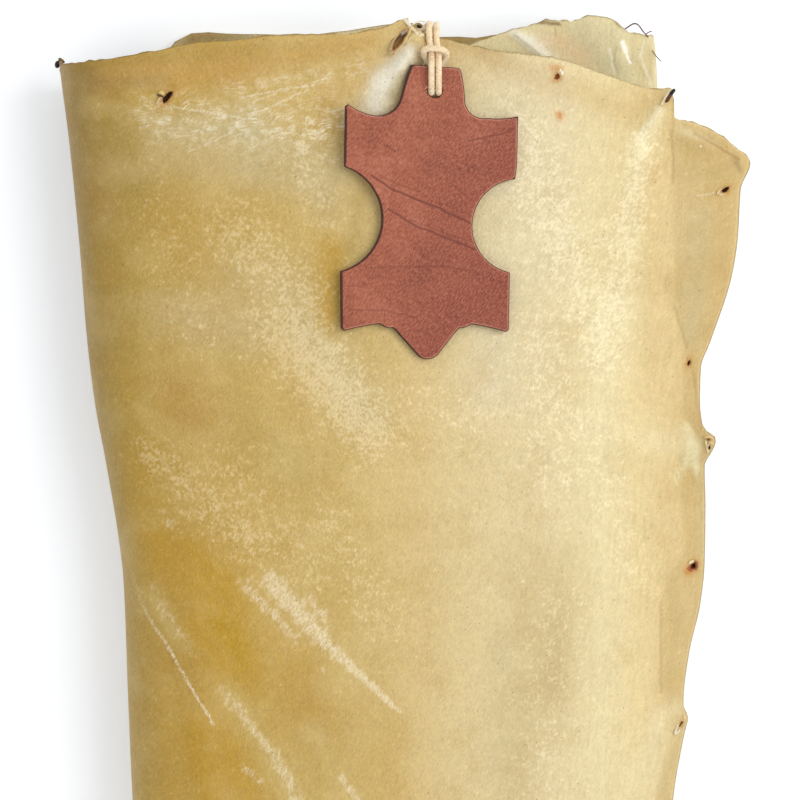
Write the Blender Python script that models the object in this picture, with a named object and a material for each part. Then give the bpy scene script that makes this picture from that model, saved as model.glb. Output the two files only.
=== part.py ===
"""A round cowhide vellum, dried on pegs and rolled flat, with a leather hang tag on a doubled cord.

It lies on its back. +Y runs up the roll to the tag's end, +X points to the skin's free edge, +Z is up.
The origin is under the middle of the roll, on the surface that it rests on. Tables are in millimetres.
"""

import bpy
import numpy as np
from math import atan, hypot, pi, radians
from mathutils import Vector

MM = 0.001

# Driving sizes, mm
SKIN_THICKNESS = 1.2
TAG_THICKNESS = 2.4
CORD_DIAMETER = 2.6
TOUCH_GAP = 0.3
LEFT_FOLD_HEIGHT = 48.5
LEFT_FOLD_REACH = 22.0
RIGHT_FOLD_HEIGHT = 30.0
RIGHT_FOLD_REACH = 15.0

# The roll from above. Rows run from the tail end to the tag end.
LEFT_FOLD = [  # along, across
    (-310, -93),
    (-200, -101),
    (-110, -107),
    (-23, -112.4),
    (16, -114.1),
    (68, -116.1),
    (86, -118.2),
    (118, -123.6),
    (143, -128.2),
    (171, -131.5),
    (203, -134),
    (250, -138.6),
    (283, -142.7),
    (300, -144),
]
FREE_EDGE = [  # along, across, height; a peg point stands out and up
    (-300, 50, 26),
    (-262, 60, 26),
    (-220, 79, 24),
    (-160, 94, 23),
    (-108, 103, 25),
    (-98, 106.5, 29),
    (-88, 105, 26),
    (-50, 109, 22),
    (-23, 111.1, 21),
    (2, 115, 25),
    (7, 116, 26.5),
    (11.2, 116.8, 27.5),
    (16, 115, 26),
    (38, 117.7, 22),
    (58, 122.3, 21.5),
    (74, 123.9, 24),
    (100, 124.4, 22),
    (116, 123.8, 27),
    (121.8, 126.5, 31),
    (126.4, 128, 33),
    (131, 123.2, 29.5),
    (142, 121.9, 26),
    (156, 122.3, 27),
    (166, 126, 25),
    (195, 135.5, 23),
    (210, 137.8, 23.5),
    (230, 138.9, 25),
    (241, 143, 24),
    (300, 143, 24),
]
RIGHT_FOLD = [  # along, across
    (-310, 34),
    (-262, 46),
    (-200, 69),
    (-110, 90),
    (-23, 101),
    (43, 106),
    (110, 111),
    (180, 110),
    (230, 106),
    (283, 104.2),
    (310, 101),
]
INNER_END = [  # along, across
    (-310, 2),
    (-200, -20),
    (-60, -40),
    (60, -44),
    (180, -32),
    (260, -12),
    (310, 6),
]
OPENNESS = [  # along, share of the height at mid-length
    (-310, 0.90),
    (-200, 0.96),
    (-60, 0.95),
    (60, 1.0),
    (180, 1.01),
    (300, 1.06),
]

# The section. A station is the distance along the sheet from its free edge, at the tag end.
FRONT = [  # station, height
    (14, 31.5),
    (42, 38.5),
    (85, 44.5),
    (141, 49.0),
    (192, 50.5),
    (232, 50.0),
]
LEFT_FOLD_STATIONS = (261, 279, 297, 315, 333)
BACK_STATIONS = (385, 437, 489)
BACK_PRESSED = -1.5  # below the surface, so that the back lies flat on it
RIGHT_FOLD_STATIONS = (541, 553, 564.5, 576, 588)
INNER = [  # station, share from the right fold's top to the inner end, height
    (625, 0.33, 31.5),
    (660, 0.66, 33.0),
    (698, 1.00, 35.0),
]

# The scalloped ends
TAG_END = [  # station, along
    (0, 241.2),
    (1.5, 244.1),
    (5, 246.5),
    (14, 252.7),
    (21, 256.0),
    (28, 258.1),
    (31, 259.0),
    (32.2, 270.9),
    (38.6, 270.5),
    (44, 271.3),
    (60, 276.2),
    (79, 282.4),
    (106, 285.9),
    (128, 290.8),
    (135.5, 292.0),
    (137.5, 294.5),
    (140.5, 297.8),
    (142, 298.2),
    (148, 295.3),
    (155, 293.7),
    (168, 292.2),
    (192, 291.6),
    (212, 289.6),
    (227, 288.4),
    (241, 285.5),
    (253, 283.4),
    (266, 281.8),
    (284, 281.0),
    (293, 281.4),
    (297, 283.4),
    (301, 281.0),
    (318, 276.0),
    (338, 277.0),
    (352, 285.0),
    (358, 292.8),
    (366, 297.0),
    (395, 296.1),
    (426, 297.4),
    (447, 300.3),
    (459, 301.6),
    (467, 295.3),
    (481, 295.1),
    (500, 296.5),
    (541, 293.0),
    (572, 294.0),
    (582, 294.2),
    (584.5, 295.5),
    (587, 297.9),
    (591.5, 300.4),
    (600, 301.3),
    (612.5, 299.2),
    (621, 299.6),
    (627.5, 299.2),
    (639, 296.3),
    (649, 293.8),
    (665, 288.0),
    (698, 268.0),
]
TAIL_END = [  # station, along
    (0, -262),
    (14, -270),
    (40, -281),
    (66, -286),
    (72, -291),
    (78, -288),
    (130, -291),
    (150, -297),
    (170, -293),
    (240, -292),
    (266, -287),
    (297, -284),
    (330, -287),
    (372, -294),
    (382, -300),
    (392, -296),
    (450, -298),
    (474, -301.6),
    (498, -297),
    (541, -293),
    (588, -288),
    (625, -282),
    (660, -272),
    (698, -256),
]

# Ridges (and, below zero, troughs) that the pegs pulled into the skin on top
RIDGES = [  # from across, along, to across, along, height, half-width from, to
    (6.5, 293, -13, 257, 4.2, 4.0, 9.0),
    (-6, 284, -44, 268, -1.5, 5.0, 12.0),
    (110, 269, 97, 251, 3.2, 3.5, 8.0),
    (97, 251, 102, 186, 1.8, 8.0, 12.0),
    (127, 126, 118, 108, 2.6, 3.0, 7.0),
    (126, 128, 118, 142, 1.4, 3.0, 6.0),
    (113, 11, 103, -14, 1.8, 3.0, 7.0),
    (113, 13, 106, 32, 1.2, 3.0, 6.0),
    (105, -98, 92, -112, 2.4, 3.0, 7.0),
    (107, 190, 117, 160, -1.8, 5.0, 3.0),
    (-100, 84, -30, 4, 1.4, 16.0, 22.0),
    (-60, -20, -20, -120, 1.6, 20.0, 26.0),
]
RIDGE_ROOT = 0.12  # of a ridge's length, over which it rises and fades

# Peg holes through the layer on top
PEG_HOLES = [  # across, along, length, width, turn in degrees
    (-98.3, 268.4, 4.6, 2.2, 52),
    (-1.9, 289.4, 8.6, 3.8, 56),
    (62.5, 275.4, 4.2, 2.4, 52),
    (107.6, 265.2, 5.0, 1.8, 56),
    (132.0, 229.3, 4.2, 2.6, 40),
    (117.2, 157.8, 3.4, 2.0, 74),
    (118.0, 73.9, 3.8, 2.6, 20),
    (112.2, 8.4, 4.6, 1.6, 60),
]
HOLE_SIDES = 12

# The faceted sheet's own grid
COLUMNS = [
    *(0, 3, 8, 14, 20, 26, 30, 32.2, 37, 43, 51, 61, 72, 85, 99, 113, 124, 130, 135, 138.5, 142, 148, 157),
    *(170, 188, 206, 222, 236, 249, 261, 270, 279, 288, 297, 306, 315, 324, 333, 346, 358, 368, 390, 415),
    *(440, 459, 474, 505, 541, 549, 557, 564.5, 572, 580, 588, 600, 613, 627, 641, 660, 680, 698),
]
ROWS = [
    *(0, 0.05, 0.11, 0.17, 0.23, 0.28, 0.31, 0.326, 0.342, 0.38, 0.43, 0.48, 0.51, 0.527, 0.543, 0.56, 0.59),
    *(0.63, 0.67, 0.71, 0.74, 0.757, 0.772, 0.787, 0.81, 0.84, 0.87, 0.90, 0.925, 0.945, 0.96, 0.972, 0.982),
    *(0.991, 1.0),
]

# The hang tag, a hide's outline, about its own middle
TAG_MIDDLE = (10.0, 219.0)
TAG_OUTLINE = [  # across, along, bulge of the side to the next point (below zero: hollow)
    (-7.6, 60.2, 0),
    (10.8, 59.0, 0.5),
    (12.8, 57.6, 0.3),
    (14.5, 44.7, -2.2),
    (23.4, 38.6, -0.5),
    (36.1, 39.4, 0),
    (35.7, 19.8, 0),
    (34.9, 13.7, -16.4),
    (32.8, -24.2, 0),
    (32.4, -47.5, 0.3),
    (30.9, -48.5, -0.3),
    (16.9, -45.4, 0.5),
    (12.0, -47.0, 0),
    (3.5, -57.7, 1.6),
    (-4.7, -58.5, 0),
    (-15.0, -47.0, 0.6),
    (-20.5, -45.3, -0.3),
    (-34.9, -48.2, 0.3),
    (-36.3, -46.5, 0),
    (-36.5, -23.8, -16.0),
    (-34.9, 18.6, 0),
    (-34.5, 43.2, 0.2),
    (-32.9, 43.9, -0.7),
    (-22.5, 39.5, -2.4),
    (-12.0, 46.5, 0.2),
]
TAG_HOLE = (2.2, 49.3, 6.4, 5.4)  # across, along, width, height
TAG_LIFT = 3.3  # at the hole, where the cord runs under the tag

# The cord's route: from the torn hole behind the skin, over its end, under the knot's bight, through the
# tag, round the bight and back the same way. Height is above the skin's face (or, behind, below it).
CORD_ROUTE = [  # across, along, height
    (-9.0, 286.5, -4.0),
    (-3.0, 289.0, -4.4),
    (3.0, 292.2, -5.2),
    (7.4, 294.2, -3.8),
    (9.4, 295.8, -1.4),
    (9.8, 296.0, 1.2),
    (9.8, 293.8, 2.4),
    (9.9, 290.0, 2.2),
    (10.4, 286.5, 2.5),
    (10.7, 284.0, 3.8),
    (10.8, 281.6, 6.9),
    (10.8, 279.0, 8.5),
    (10.8, 274.5, 8.4),
    (10.8, 270.3, 7.9),
    (10.8, 267.8, 4.9),
    (10.8, 269.9, 1.9),
    (10.7, 274.5, 1.8),
    (10.1, 279.0, 2.1),
    (8.1, 282.4, 2.9),
    (7.7, 284.6, 5.2),
    (9.6, 285.6, 7.1),
    (12.3, 285.5, 7.4),
    (15.0, 285.2, 7.0),
    (16.8, 284.0, 4.9),
    (16.3, 281.8, 2.7),
    (14.5, 278.6, 1.8),
    (13.8, 274.3, 1.7),
    (13.7, 269.9, 1.9),
    (13.7, 267.8, 4.9),
    (13.7, 270.3, 7.9),
    (13.7, 274.5, 8.4),
    (13.7, 279.0, 8.5),
    (13.7, 281.6, 6.9),
    (13.6, 284.0, 3.8),
    (13.3, 286.5, 2.5),
    (12.8, 290.0, 2.2),
    (12.8, 293.6, 2.4),
    (12.8, 295.8, 1.2),
    (12.6, 295.4, -1.6),
    (10.8, 292.2, -5.0),
    (5.5, 288.8, -6.6),
    (-0.5, 285.0, -5.6),
    (-7.0, 282.6, -4.2),
]
CORD_STEP = 2.4  # between the cord's points


def through(table, column, at):
    """A column of a table, read anywhere along its first column: smooth, and with no overshoot."""
    x = np.array([row[0] for row in table], float)
    y = np.array([row[column] for row in table], float)
    slopes = np.diff(y) / np.diff(x)
    before, after = slopes[:-1], slopes[1:]
    same_way = before * after > 0
    bend = np.where(same_way, 2 * before * after / np.where(same_way, before + after, 1), 0)
    tangent = np.concatenate([slopes[:1], bend, slopes[-1:]])
    at = np.clip(at, x[0], x[-1])
    i = np.clip(np.searchsorted(x, at) - 1, 0, len(x) - 2)
    width = x[i + 1] - x[i]
    t = (at - x[i]) / width
    return (
        y[i] * (1 + 2 * t) * (1 - t) ** 2
        + tangent[i] * width * t * (1 - t) ** 2
        + y[i + 1] * t * t * (3 - 2 * t)
        - tangent[i + 1] * width * t * t * (1 - t)
    )


def spline_weights(knots, at):
    """How much each knot adds at each station, for the natural cubic spline through all the knots."""
    n = len(knots)
    gap = np.diff(knots)
    system = np.eye(n)
    right = np.zeros((n, n))
    for k in range(1, n - 1):
        system[k, k - 1 : k + 2] = gap[k - 1], 2 * (gap[k - 1] + gap[k]), gap[k]
        right[k, k - 1 : k + 2] = 6 / gap[k - 1], -6 / gap[k - 1] - 6 / gap[k], 6 / gap[k]
    curvature = np.linalg.solve(system, right)
    i = np.clip(np.searchsorted(knots, at) - 1, 0, n - 2)
    width = gap[i]
    b = ((at - knots[i]) / width)[:, None]
    a = 1 - b
    unit = np.eye(n)
    bent = (a**3 - a) * curvature[i] + (b**3 - b) * curvature[i + 1]
    return a * unit[i] + b * unit[i + 1] + bent * (width**2 / 6)[:, None]


def half_ellipse(outer, foot_up, reach, height, lowest):
    """Five knots round a fold, from its top to its foot, or the other way: (across, height) of each."""
    angles = np.radians([90, 45, 0, -45, -90])
    if foot_up:
        angles = angles[::-1]
    middle = (height + lowest) / 2
    for angle in angles:
        yield outer + reach * (1 - np.cos(angle)), middle + (height - lowest) / 2 * np.sin(angle)


def section_knots(along):
    """The roll's section at each height along it: the knots' stations, and (across, height) of each."""
    left = through(LEFT_FOLD, 1, along)
    free = through(FREE_EDGE, 1, along)
    right = through(RIGHT_FOLD, 1, along)
    inner = through(INNER_END, 1, along)
    openness = through(OPENNESS, 1, along)
    lowest = SKIN_THICKNESS / 2 + 0 * along
    foot, far_foot = left + LEFT_FOLD_REACH, right - RIGHT_FOLD_REACH
    stations, places = [0], [(free, through(FREE_EDGE, 2, along))]
    for station, height in FRONT:
        share = station / LEFT_FOLD_STATIONS[0]
        stations.append(station)
        places.append((free + share * (foot - free), height * openness))
    stations += LEFT_FOLD_STATIONS
    places += half_ellipse(left, False, LEFT_FOLD_REACH, LEFT_FOLD_HEIGHT * openness, lowest)
    for k, station in enumerate(BACK_STATIONS, 1):
        share = k / (len(BACK_STATIONS) + 1)
        stations.append(station)
        places.append((foot + share * (far_foot - foot), BACK_PRESSED + 0 * along))
    stations += RIGHT_FOLD_STATIONS
    places += half_ellipse(right, True, -RIGHT_FOLD_REACH, RIGHT_FOLD_HEIGHT * openness, lowest)
    for station, share, height in INNER:
        stations.append(station)
        places.append((far_foot + share * (inner - far_foot), height * openness))
    return np.array(stations, float), places


def relief(across, along):
    """How far the ridges lift the layer on top."""
    lift = np.zeros(np.broadcast(across, along).shape)
    for x0, y0, x1, y1, height, width0, width1 in RIDGES:
        length = hypot(x1 - x0, y1 - y0)
        ux, uy = (x1 - x0) / length, (y1 - y0) / length
        share = ((across - x0) * ux + (along - y0) * uy) / length
        aside = (across - x0) * uy - (along - y0) * ux
        width = width0 + (width1 - width0) * np.clip(share, 0, 1)
        rise = np.clip((share + RIDGE_ROOT) / RIDGE_ROOT / 2, 0, 1)
        fade = np.clip((1 + RIDGE_ROOT - share) / (1 - RIDGE_ROOT), 0, 1)
        along_it = rise * rise * (3 - 2 * rise) * fade * fade * (3 - 2 * fade)
        lift = lift + height * along_it * np.exp(-((aside / width) ** 2))
    return lift


def skin_points(stations, along):
    """Places on the middle of the sheet, for a grid of columns (stations) and rows (heights along)."""
    knots, places = section_knots(along)
    weights = spline_weights(knots, stations)
    across = sum(w[:, None] * x for w, (x, z) in zip(weights.T, places))
    height = sum(w[:, None] * z for w, (x, z) in zip(weights.T, places))
    on_top = np.clip((LEFT_FOLD_STATIONS[0] - stations) / 30, 0, 1)[:, None]
    height = height + on_top * relief(across, along)
    return across, along + 0 * across, np.maximum(height, SKIN_THICKNESS / 2)


def top_face(across, along):
    """The height of the skin's upper face at one place on top."""
    stations = np.linspace(0, LEFT_FOLD_STATIONS[1], 400)
    x, _, z = skin_points(stations, np.full((len(stations), 1), float(along)))
    return float(np.interp(across, x[::-1, 0], z[::-1, 0])) + SKIN_THICKNESS / 2


def material(name, colour, roughness, metallic=0.0):
    made = bpy.data.materials.new(name)
    made.use_nodes = True
    shader = made.node_tree.nodes["Principled BSDF"]
    shader.inputs["Base Color"].default_value = (*colour, 1)
    shader.inputs["Roughness"].default_value = roughness
    shader.inputs["Metallic"].default_value = metallic
    return made


def add_object(name, data, made_of):
    thing = bpy.data.objects.new(name, data)
    data.materials.append(made_of)
    bpy.context.scene.collection.objects.link(thing)
    return thing


def mesh_of(name, points, faces):
    mesh = bpy.data.meshes.new(name)
    mesh.from_pydata([tuple(p) for p in points], [], faces)
    mesh.validate()
    return mesh


def oval_cutter(name, at, length, width, turn, depth):
    """An upright oval bar that cuts a hole where it stands; at is its middle, in metres."""
    angles = np.linspace(0, 2 * pi, HOLE_SIDES, endpoint=False)
    rim = np.stack([length / 2 * np.cos(angles), width / 2 * np.sin(angles)], 1) * MM
    ring = [(x, y, -depth / 2 * MM) for x, y in rim] + [(x, y, depth / 2 * MM) for x, y in rim]
    n = HOLE_SIDES
    sides = [(k, (k + 1) % n, n + (k + 1) % n, n + k) for k in range(n)]
    mesh = mesh_of(name, ring, [tuple(range(n))[::-1], tuple(range(n, 2 * n)), *sides])
    cutter = bpy.data.objects.new(name, mesh)
    cutter.location = at
    cutter.rotation_euler.z = radians(turn)
    cutter.hide_render = True
    cutter.display_type = "WIRE"
    bpy.context.scene.collection.objects.link(cutter)
    return cutter


def cut(thing, cutter):
    boolean = thing.modifiers.new(cutter.name, "BOOLEAN")
    boolean.operation = "DIFFERENCE"
    boolean.solver = "EXACT"
    boolean.object = cutter


def make_skin():
    """One sheet, gridded along the roll and round its section, thickened and cut by the pegs."""
    stations = np.array(COLUMNS, float)
    tail = through(TAIL_END, 1, stations)[:, None]
    tag_end = through(TAG_END, 1, stations)[:, None]
    along = tail + (tag_end - tail) * np.array(ROWS)[None, :]
    x, y, z = skin_points(stations, along)
    points = np.stack([x, y, z], -1).reshape(-1, 3) * MM
    n = len(ROWS)
    faces = [
        (c * n + r, c * n + r + 1, (c + 1) * n + r + 1, (c + 1) * n + r)
        for c in range(len(COLUMNS) - 1)
        for r in range(n - 1)
    ]
    skin = add_object("vellum_skin", mesh_of("vellum_skin", points, faces), VELLUM)
    skin.data.shade_smooth()
    sheet = skin.modifiers.new("thickness", "SOLIDIFY")
    sheet.thickness = SKIN_THICKNESS * MM
    sheet.offset = 0
    sheet.use_even_offset = True
    for k, (across, along, length, width, turn) in enumerate(PEG_HOLES, 1):
        middle = Vector((across, along, top_face(across, along))) * MM
        cut(skin, oval_cutter(f"peg_{k}", middle, length, width, turn, 12))
    return skin


def bowed(start, end, bulge):
    """Points from start to just before end, on an arc that stands bulge off the straight line, outwards."""
    start, end = np.array(start), np.array(end)
    chord = end - start
    length = np.hypot(*chord)
    if abs(bulge) < 0.05:
        return [start]
    outward = np.array([-chord[1], chord[0]]) / length
    radius = (length**2 / 4 + bulge**2) / (2 * bulge)
    half = 2 * atan(2 * abs(bulge) / length)
    steps = max(2, round(half * 2 / radians(24)), round(length / 9))
    centre = (start + end) / 2 + outward * (bulge - radius)
    swing = np.linspace(-half, half, steps, endpoint=False)
    middle = (start + end) / 2 + outward * bulge - centre
    turned = -np.sign(bulge) * swing
    return [centre + np.array([c * middle[0] - s * middle[1], s * middle[0] + c * middle[1]])
            for c, s in zip(np.cos(turned), np.sin(turned))]


def tag_slopes():
    """The tag lies on the crown and is lifted by the cord at its hole: its slopes across and along."""
    x, y = TAG_MIDDLE
    across = (top_face(x + 20, y) - top_face(x - 20, y)) / 40
    hole, tail = y + TAG_HOLE[1], y - 55
    along = (top_face(x, hole) + TAG_LIFT - top_face(x, tail) - TOUCH_GAP) / (hole - tail)
    return across, along


def tag_height(slopes, outline):
    """How high the tag's middle is, so that its back clears the skin by the touching gap."""
    needed = [
        top_face(x + TAG_MIDDLE[0], y + TAG_MIDDLE[1]) - x * slopes[0] - y * slopes[1]
        for x, y in [*outline, *(0.5 * p for p in outline)]
    ]
    return max(needed) + TOUCH_GAP + TAG_THICKNESS / 2


def make_tag():
    """The outline, thickened, then laid in the plane that the cord and the crown give it."""
    corners = TAG_OUTLINE + TAG_OUTLINE[:1]
    outline = []
    for (x0, y0, bulge), (x1, y1, _) in zip(corners, corners[1:]):
        outline += bowed((x0, y0), (x1, y1), bulge)
    slopes = tag_slopes()
    height = tag_height(slopes, outline)
    n, half = len(outline), TAG_THICKNESS / 2
    points = [(x, y, z + x * slopes[0] + y * slopes[1]) for z in (-half, half) for x, y in outline]
    sides = [(k, n + k, n + (k + 1) % n, (k + 1) % n) for k in range(n)]
    faces = [tuple(range(n)), tuple(range(n, 2 * n))[::-1], *sides]
    mesh = mesh_of("hang_tag", np.array(points) * MM, faces)
    tag = add_object("hang_tag", mesh, LEATHER)
    tag.location = Vector((*TAG_MIDDLE, height)) * MM
    x, y, width, tall = TAG_HOLE
    at = Vector((x, y, x * slopes[0] + y * slopes[1])) * MM + tag.location
    cut(tag, oval_cutter("tag_punch", at, width, tall, 0, 12))
    return tag


def smooth_route(route, step):
    """Points a step apart on a Catmull-Rom curve through the route's own points."""
    p = np.array(route, float)
    p = np.concatenate([2 * p[:1] - p[1:2], p, 2 * p[-1:] - p[-2:-1]])
    t = np.linspace(0, 1, 24, endpoint=False)[:, None]
    dense = [
        0.5 * (2 * b + (c - a) * t + (2 * a - 5 * b + 4 * c - d) * t**2 + (3 * b - a - 3 * c + d) * t**3)
        for a, b, c, d in zip(p, p[1:], p[2:], p[3:])
    ]
    line = np.concatenate([*dense, p[-2:-1]])
    length = np.concatenate([[0], np.cumsum(np.linalg.norm(np.diff(line, axis=0), axis=1))])
    at = np.linspace(0, length[-1], round(length[-1] / step) + 1)
    return np.stack([np.interp(at, length, line[:, k]) for k in range(3)], 1)


def make_cord():
    """A round cord along its route, whose heights are measured from the skin's upper face."""
    route = [(x, y, h + top_face(x, min(y, 290.0))) for x, y, h in CORD_ROUTE]
    line = smooth_route(route, CORD_STEP) * MM
    curve = bpy.data.curves.new("tag_cord", "CURVE")
    curve.dimensions = "3D"
    curve.bevel_depth = CORD_DIAMETER / 2 * MM
    curve.bevel_resolution = 2
    curve.use_fill_caps = True
    spline = curve.splines.new("POLY")
    spline.points.add(len(line) - 1)
    spline.points.foreach_set("co", np.append(line, np.ones((len(line), 1)), 1).ravel())
    return add_object("tag_cord", curve, COTTON)


for old in list(bpy.data.objects):
    bpy.data.objects.remove(old)
VELLUM = material("vellum", (0.56, 0.41, 0.19), 0.42)
LEATHER = material("tag_leather", (0.40, 0.13, 0.09), 0.55)
COTTON = material("cotton_cord", (0.78, 0.66, 0.48), 0.9)
make_skin()
make_tag()
make_cord()
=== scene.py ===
import math

import bpy
import numpy as np
from mathutils.geometry import delaunay_2d_cdt
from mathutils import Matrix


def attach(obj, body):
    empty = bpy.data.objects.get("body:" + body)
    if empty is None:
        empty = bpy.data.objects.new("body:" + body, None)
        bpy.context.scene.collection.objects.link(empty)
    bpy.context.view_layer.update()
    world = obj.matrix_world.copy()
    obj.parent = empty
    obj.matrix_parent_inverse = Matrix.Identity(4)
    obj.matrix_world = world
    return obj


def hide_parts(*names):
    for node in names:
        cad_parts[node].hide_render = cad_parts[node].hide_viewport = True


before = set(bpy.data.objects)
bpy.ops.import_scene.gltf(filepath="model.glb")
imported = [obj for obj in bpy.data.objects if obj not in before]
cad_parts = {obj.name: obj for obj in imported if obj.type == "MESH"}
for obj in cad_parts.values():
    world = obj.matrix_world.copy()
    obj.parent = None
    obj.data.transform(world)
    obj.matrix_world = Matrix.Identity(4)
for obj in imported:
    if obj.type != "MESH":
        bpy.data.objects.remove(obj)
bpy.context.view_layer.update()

# A round cowhide vellum: one sheet of dried cowhide, stretched on pegs, cut free and rolled flat, with a
# leather hang tag tied to it by a doubled cotton cord. Lengths are in millimetres, in the CAD model's own
# frame: +Y runs up the roll to the tag's end, +X to the sheet's free edge, +Z up. A mesh gets its metres
# when it is made.
MM = 0.001

# ---- The studio ----------------------------------------------------------------------------------
# The roll lies on its back on a pale floor. The camera looks straight down on its tag half, and a broad
# soft light stands to the right of it, so that the only shadow is a wide pale one along the left fold. The
# floor also glows faintly bluish: painted light that keeps its shadows pale.
VIEW_HEIGHT = 1800.0
VIEW_OVER = (-2.05, 142.6)
VIEW_WIDTH = 328.0  # at the roll's crown
VIEW_LIMIT = 20  # metres
CROWN = 45.0  # its height
SENSOR = 36.0
FLOOR_SIZE = 6000.0
FLOOR_DROP = 0.05  # keeps the floor clear of the roll's lowest face
KEY = dict(place=(900, 420, 1250), towards=(0, 140, 20), size=1100, power=10.5)
SKY = 0.78
FLOOR_LOOK_AND_GLOW = {
    "Base Color": (0.93, 0.93, 0.93, 1), "Roughness": 0.9, "Specular IOR Level": 0.1,
    # painted light: the floor's faint bluish glow lightens the shadows on it
    "Emission Color": (0.74, 0.86, 1, 1), "Emission Strength": 0.24,
}


def put_mesh(name, points, faces, material):
    """A smooth mesh object at the origin, from points in millimetres and faces."""
    mesh = bpy.data.meshes.new(name)
    mesh.from_pydata((np.asarray(points, float) * MM).tolist(), [], [tuple(f) for f in faces])
    mesh.polygons.foreach_set("use_smooth", np.full(len(mesh.polygons), True))
    mesh.materials.append(material)
    mesh.update()
    thing = bpy.data.objects.new(name, mesh)
    bpy.context.scene.collection.objects.link(thing)
    return thing


def set_inputs(node, values):
    """Gives a node's inputs their constant values."""
    for name, value in values.items():
        node.inputs[name].default_value = value


camera = bpy.data.objects.new("camera", bpy.data.cameras.new("camera"))
camera.data.sensor_width = SENSOR
camera.data.lens = SENSOR * (VIEW_HEIGHT - CROWN) / VIEW_WIDTH
camera.data.clip_end = VIEW_LIMIT
camera.location = (VIEW_OVER[0] * MM, VIEW_OVER[1] * MM, VIEW_HEIGHT * MM)
bpy.context.scene.collection.objects.link(camera)
bpy.context.scene.camera = camera
bpy.context.scene.view_settings.view_transform = "Standard"

lamp = bpy.data.objects.new("key", bpy.data.lights.new("key", "AREA"))
lamp.data.shape = "DISK"
lamp.data.size = KEY["size"] * MM
lamp.data.energy = KEY["power"]
lamp.location = [c * MM for c in KEY["place"]]
aim = np.array(KEY["towards"]) - KEY["place"]
lamp.rotation_euler = (0, math.acos(-aim[2] / np.linalg.norm(aim)), math.atan2(-aim[1], -aim[0]))
bpy.context.scene.collection.objects.link(lamp)

world = bpy.data.worlds.new("studio")
world.use_nodes = True
set_inputs(world.node_tree.nodes["Background"], {"Color": (1, 1, 1, 1), "Strength": SKY})
bpy.context.scene.world = world

floor_finish = bpy.data.materials.new("floor")
floor_finish.use_nodes = True
set_inputs(floor_finish.node_tree.nodes["Principled BSDF"], FLOOR_LOOK_AND_GLOW)
half = FLOOR_SIZE / 2
floor_corners = [(x * half, y * half, -FLOOR_DROP) for x, y in ((-1, -1), (1, -1), (1, 1), (-1, 1))]
put_mesh("floor", floor_corners, [(0, 1, 2, 3)], floor_finish)

# ---- The roll's form -----------------------------------------------------------------------------
# The section is a natural spline through a few knots at stations along the sheet, counted from the free
# edge: over the top, round the left fold, back underneath, round the right fold and in. Tables say how it
# changes along the roll.
SKIN_THICKNESS = 1.2
TAG_THICKNESS = 2.4
CORD_DIAMETER = 2.6
TOUCH_GAP = 0.3
LEFT_FOLD_HEIGHT = 48.5
LEFT_FOLD_REACH = 22.0
RIGHT_FOLD_HEIGHT = 30.0
RIGHT_FOLD_REACH = 15.0
TOP_FADE = 30.0  # of the sheet before the left fold, over which the relief on top fades away
TOP_SAMPLES = 400  # across the top, to read its height and station from

# The roll from above. Rows run from the tail end to the tag end.
LEFT_FOLD = [  # along, across
    (-310, -93), (-200, -101), (-110, -107), (-23, -112.4), (16, -114.1), (68, -116.1), (86, -118.2),
    (118, -123.6), (143, -128.2), (171, -131.5), (203, -134), (250, -138.6), (283, -142.7), (300, -144),
]
FREE_EDGE = [  # along, across, height; a peg point stands out and up
    (-300, 50, 26), (-262, 60, 26), (-220, 79, 24), (-160, 94, 23), (-108, 103, 25), (-98, 106.5, 29),
    (-88, 105, 26), (-50, 109, 22), (-23, 111.1, 21), (2, 115, 25), (7, 116, 26.5), (11.2, 116.8, 27.5),
    (16, 115, 26), (38, 117.7, 22), (58, 122.3, 21.5), (74, 123.9, 24), (100, 124.4, 22),
    (116, 123.8, 27), (121.8, 126.5, 31), (126.4, 128, 33), (131, 123.2, 29.5), (142, 121.9, 26),
    (156, 122.3, 27), (166, 126, 25), (195, 135.5, 23), (210, 137.8, 23.5), (230, 138.9, 25),
    (241, 143, 24), (300, 143, 24),
]
RIGHT_FOLD = [  # along, across
    (-310, 34), (-262, 46), (-200, 69), (-110, 90), (-23, 101), (43, 106), (110, 111), (180, 110),
    (230, 106), (283, 104.2), (310, 101),
]
INNER_END = [  # along, across
    (-310, 2), (-200, -20), (-60, -40), (60, -44), (180, -32), (260, -12), (310, 6),
]
OPENNESS = [  # along, share of the height at mid-length
    (-310, 0.9), (-200, 0.96), (-60, 0.95), (60, 1), (180, 1.01), (300, 1.06),
]

# The section. A station is the distance along the sheet from its free edge, at the tag end.
FRONT = [  # station, height
    (14, 31.5), (42, 38.5), (85, 44.5), (141, 49), (192, 50.5), (232, 50),
]
LEFT_FOLD_STATIONS = (261, 279, 297, 315, 333)
BACK_STATIONS = (385, 437, 489)
BACK_PRESSED = -1.5  # below the surface, so that the back lies flat on it
RIGHT_FOLD_STATIONS = (541, 553, 564.5, 576, 588)
INNER = [  # station, share from the right fold's top to the inner end, height
    (625, 0.33, 31.5), (660, 0.66, 33), (698, 1, 35),
]

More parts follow.
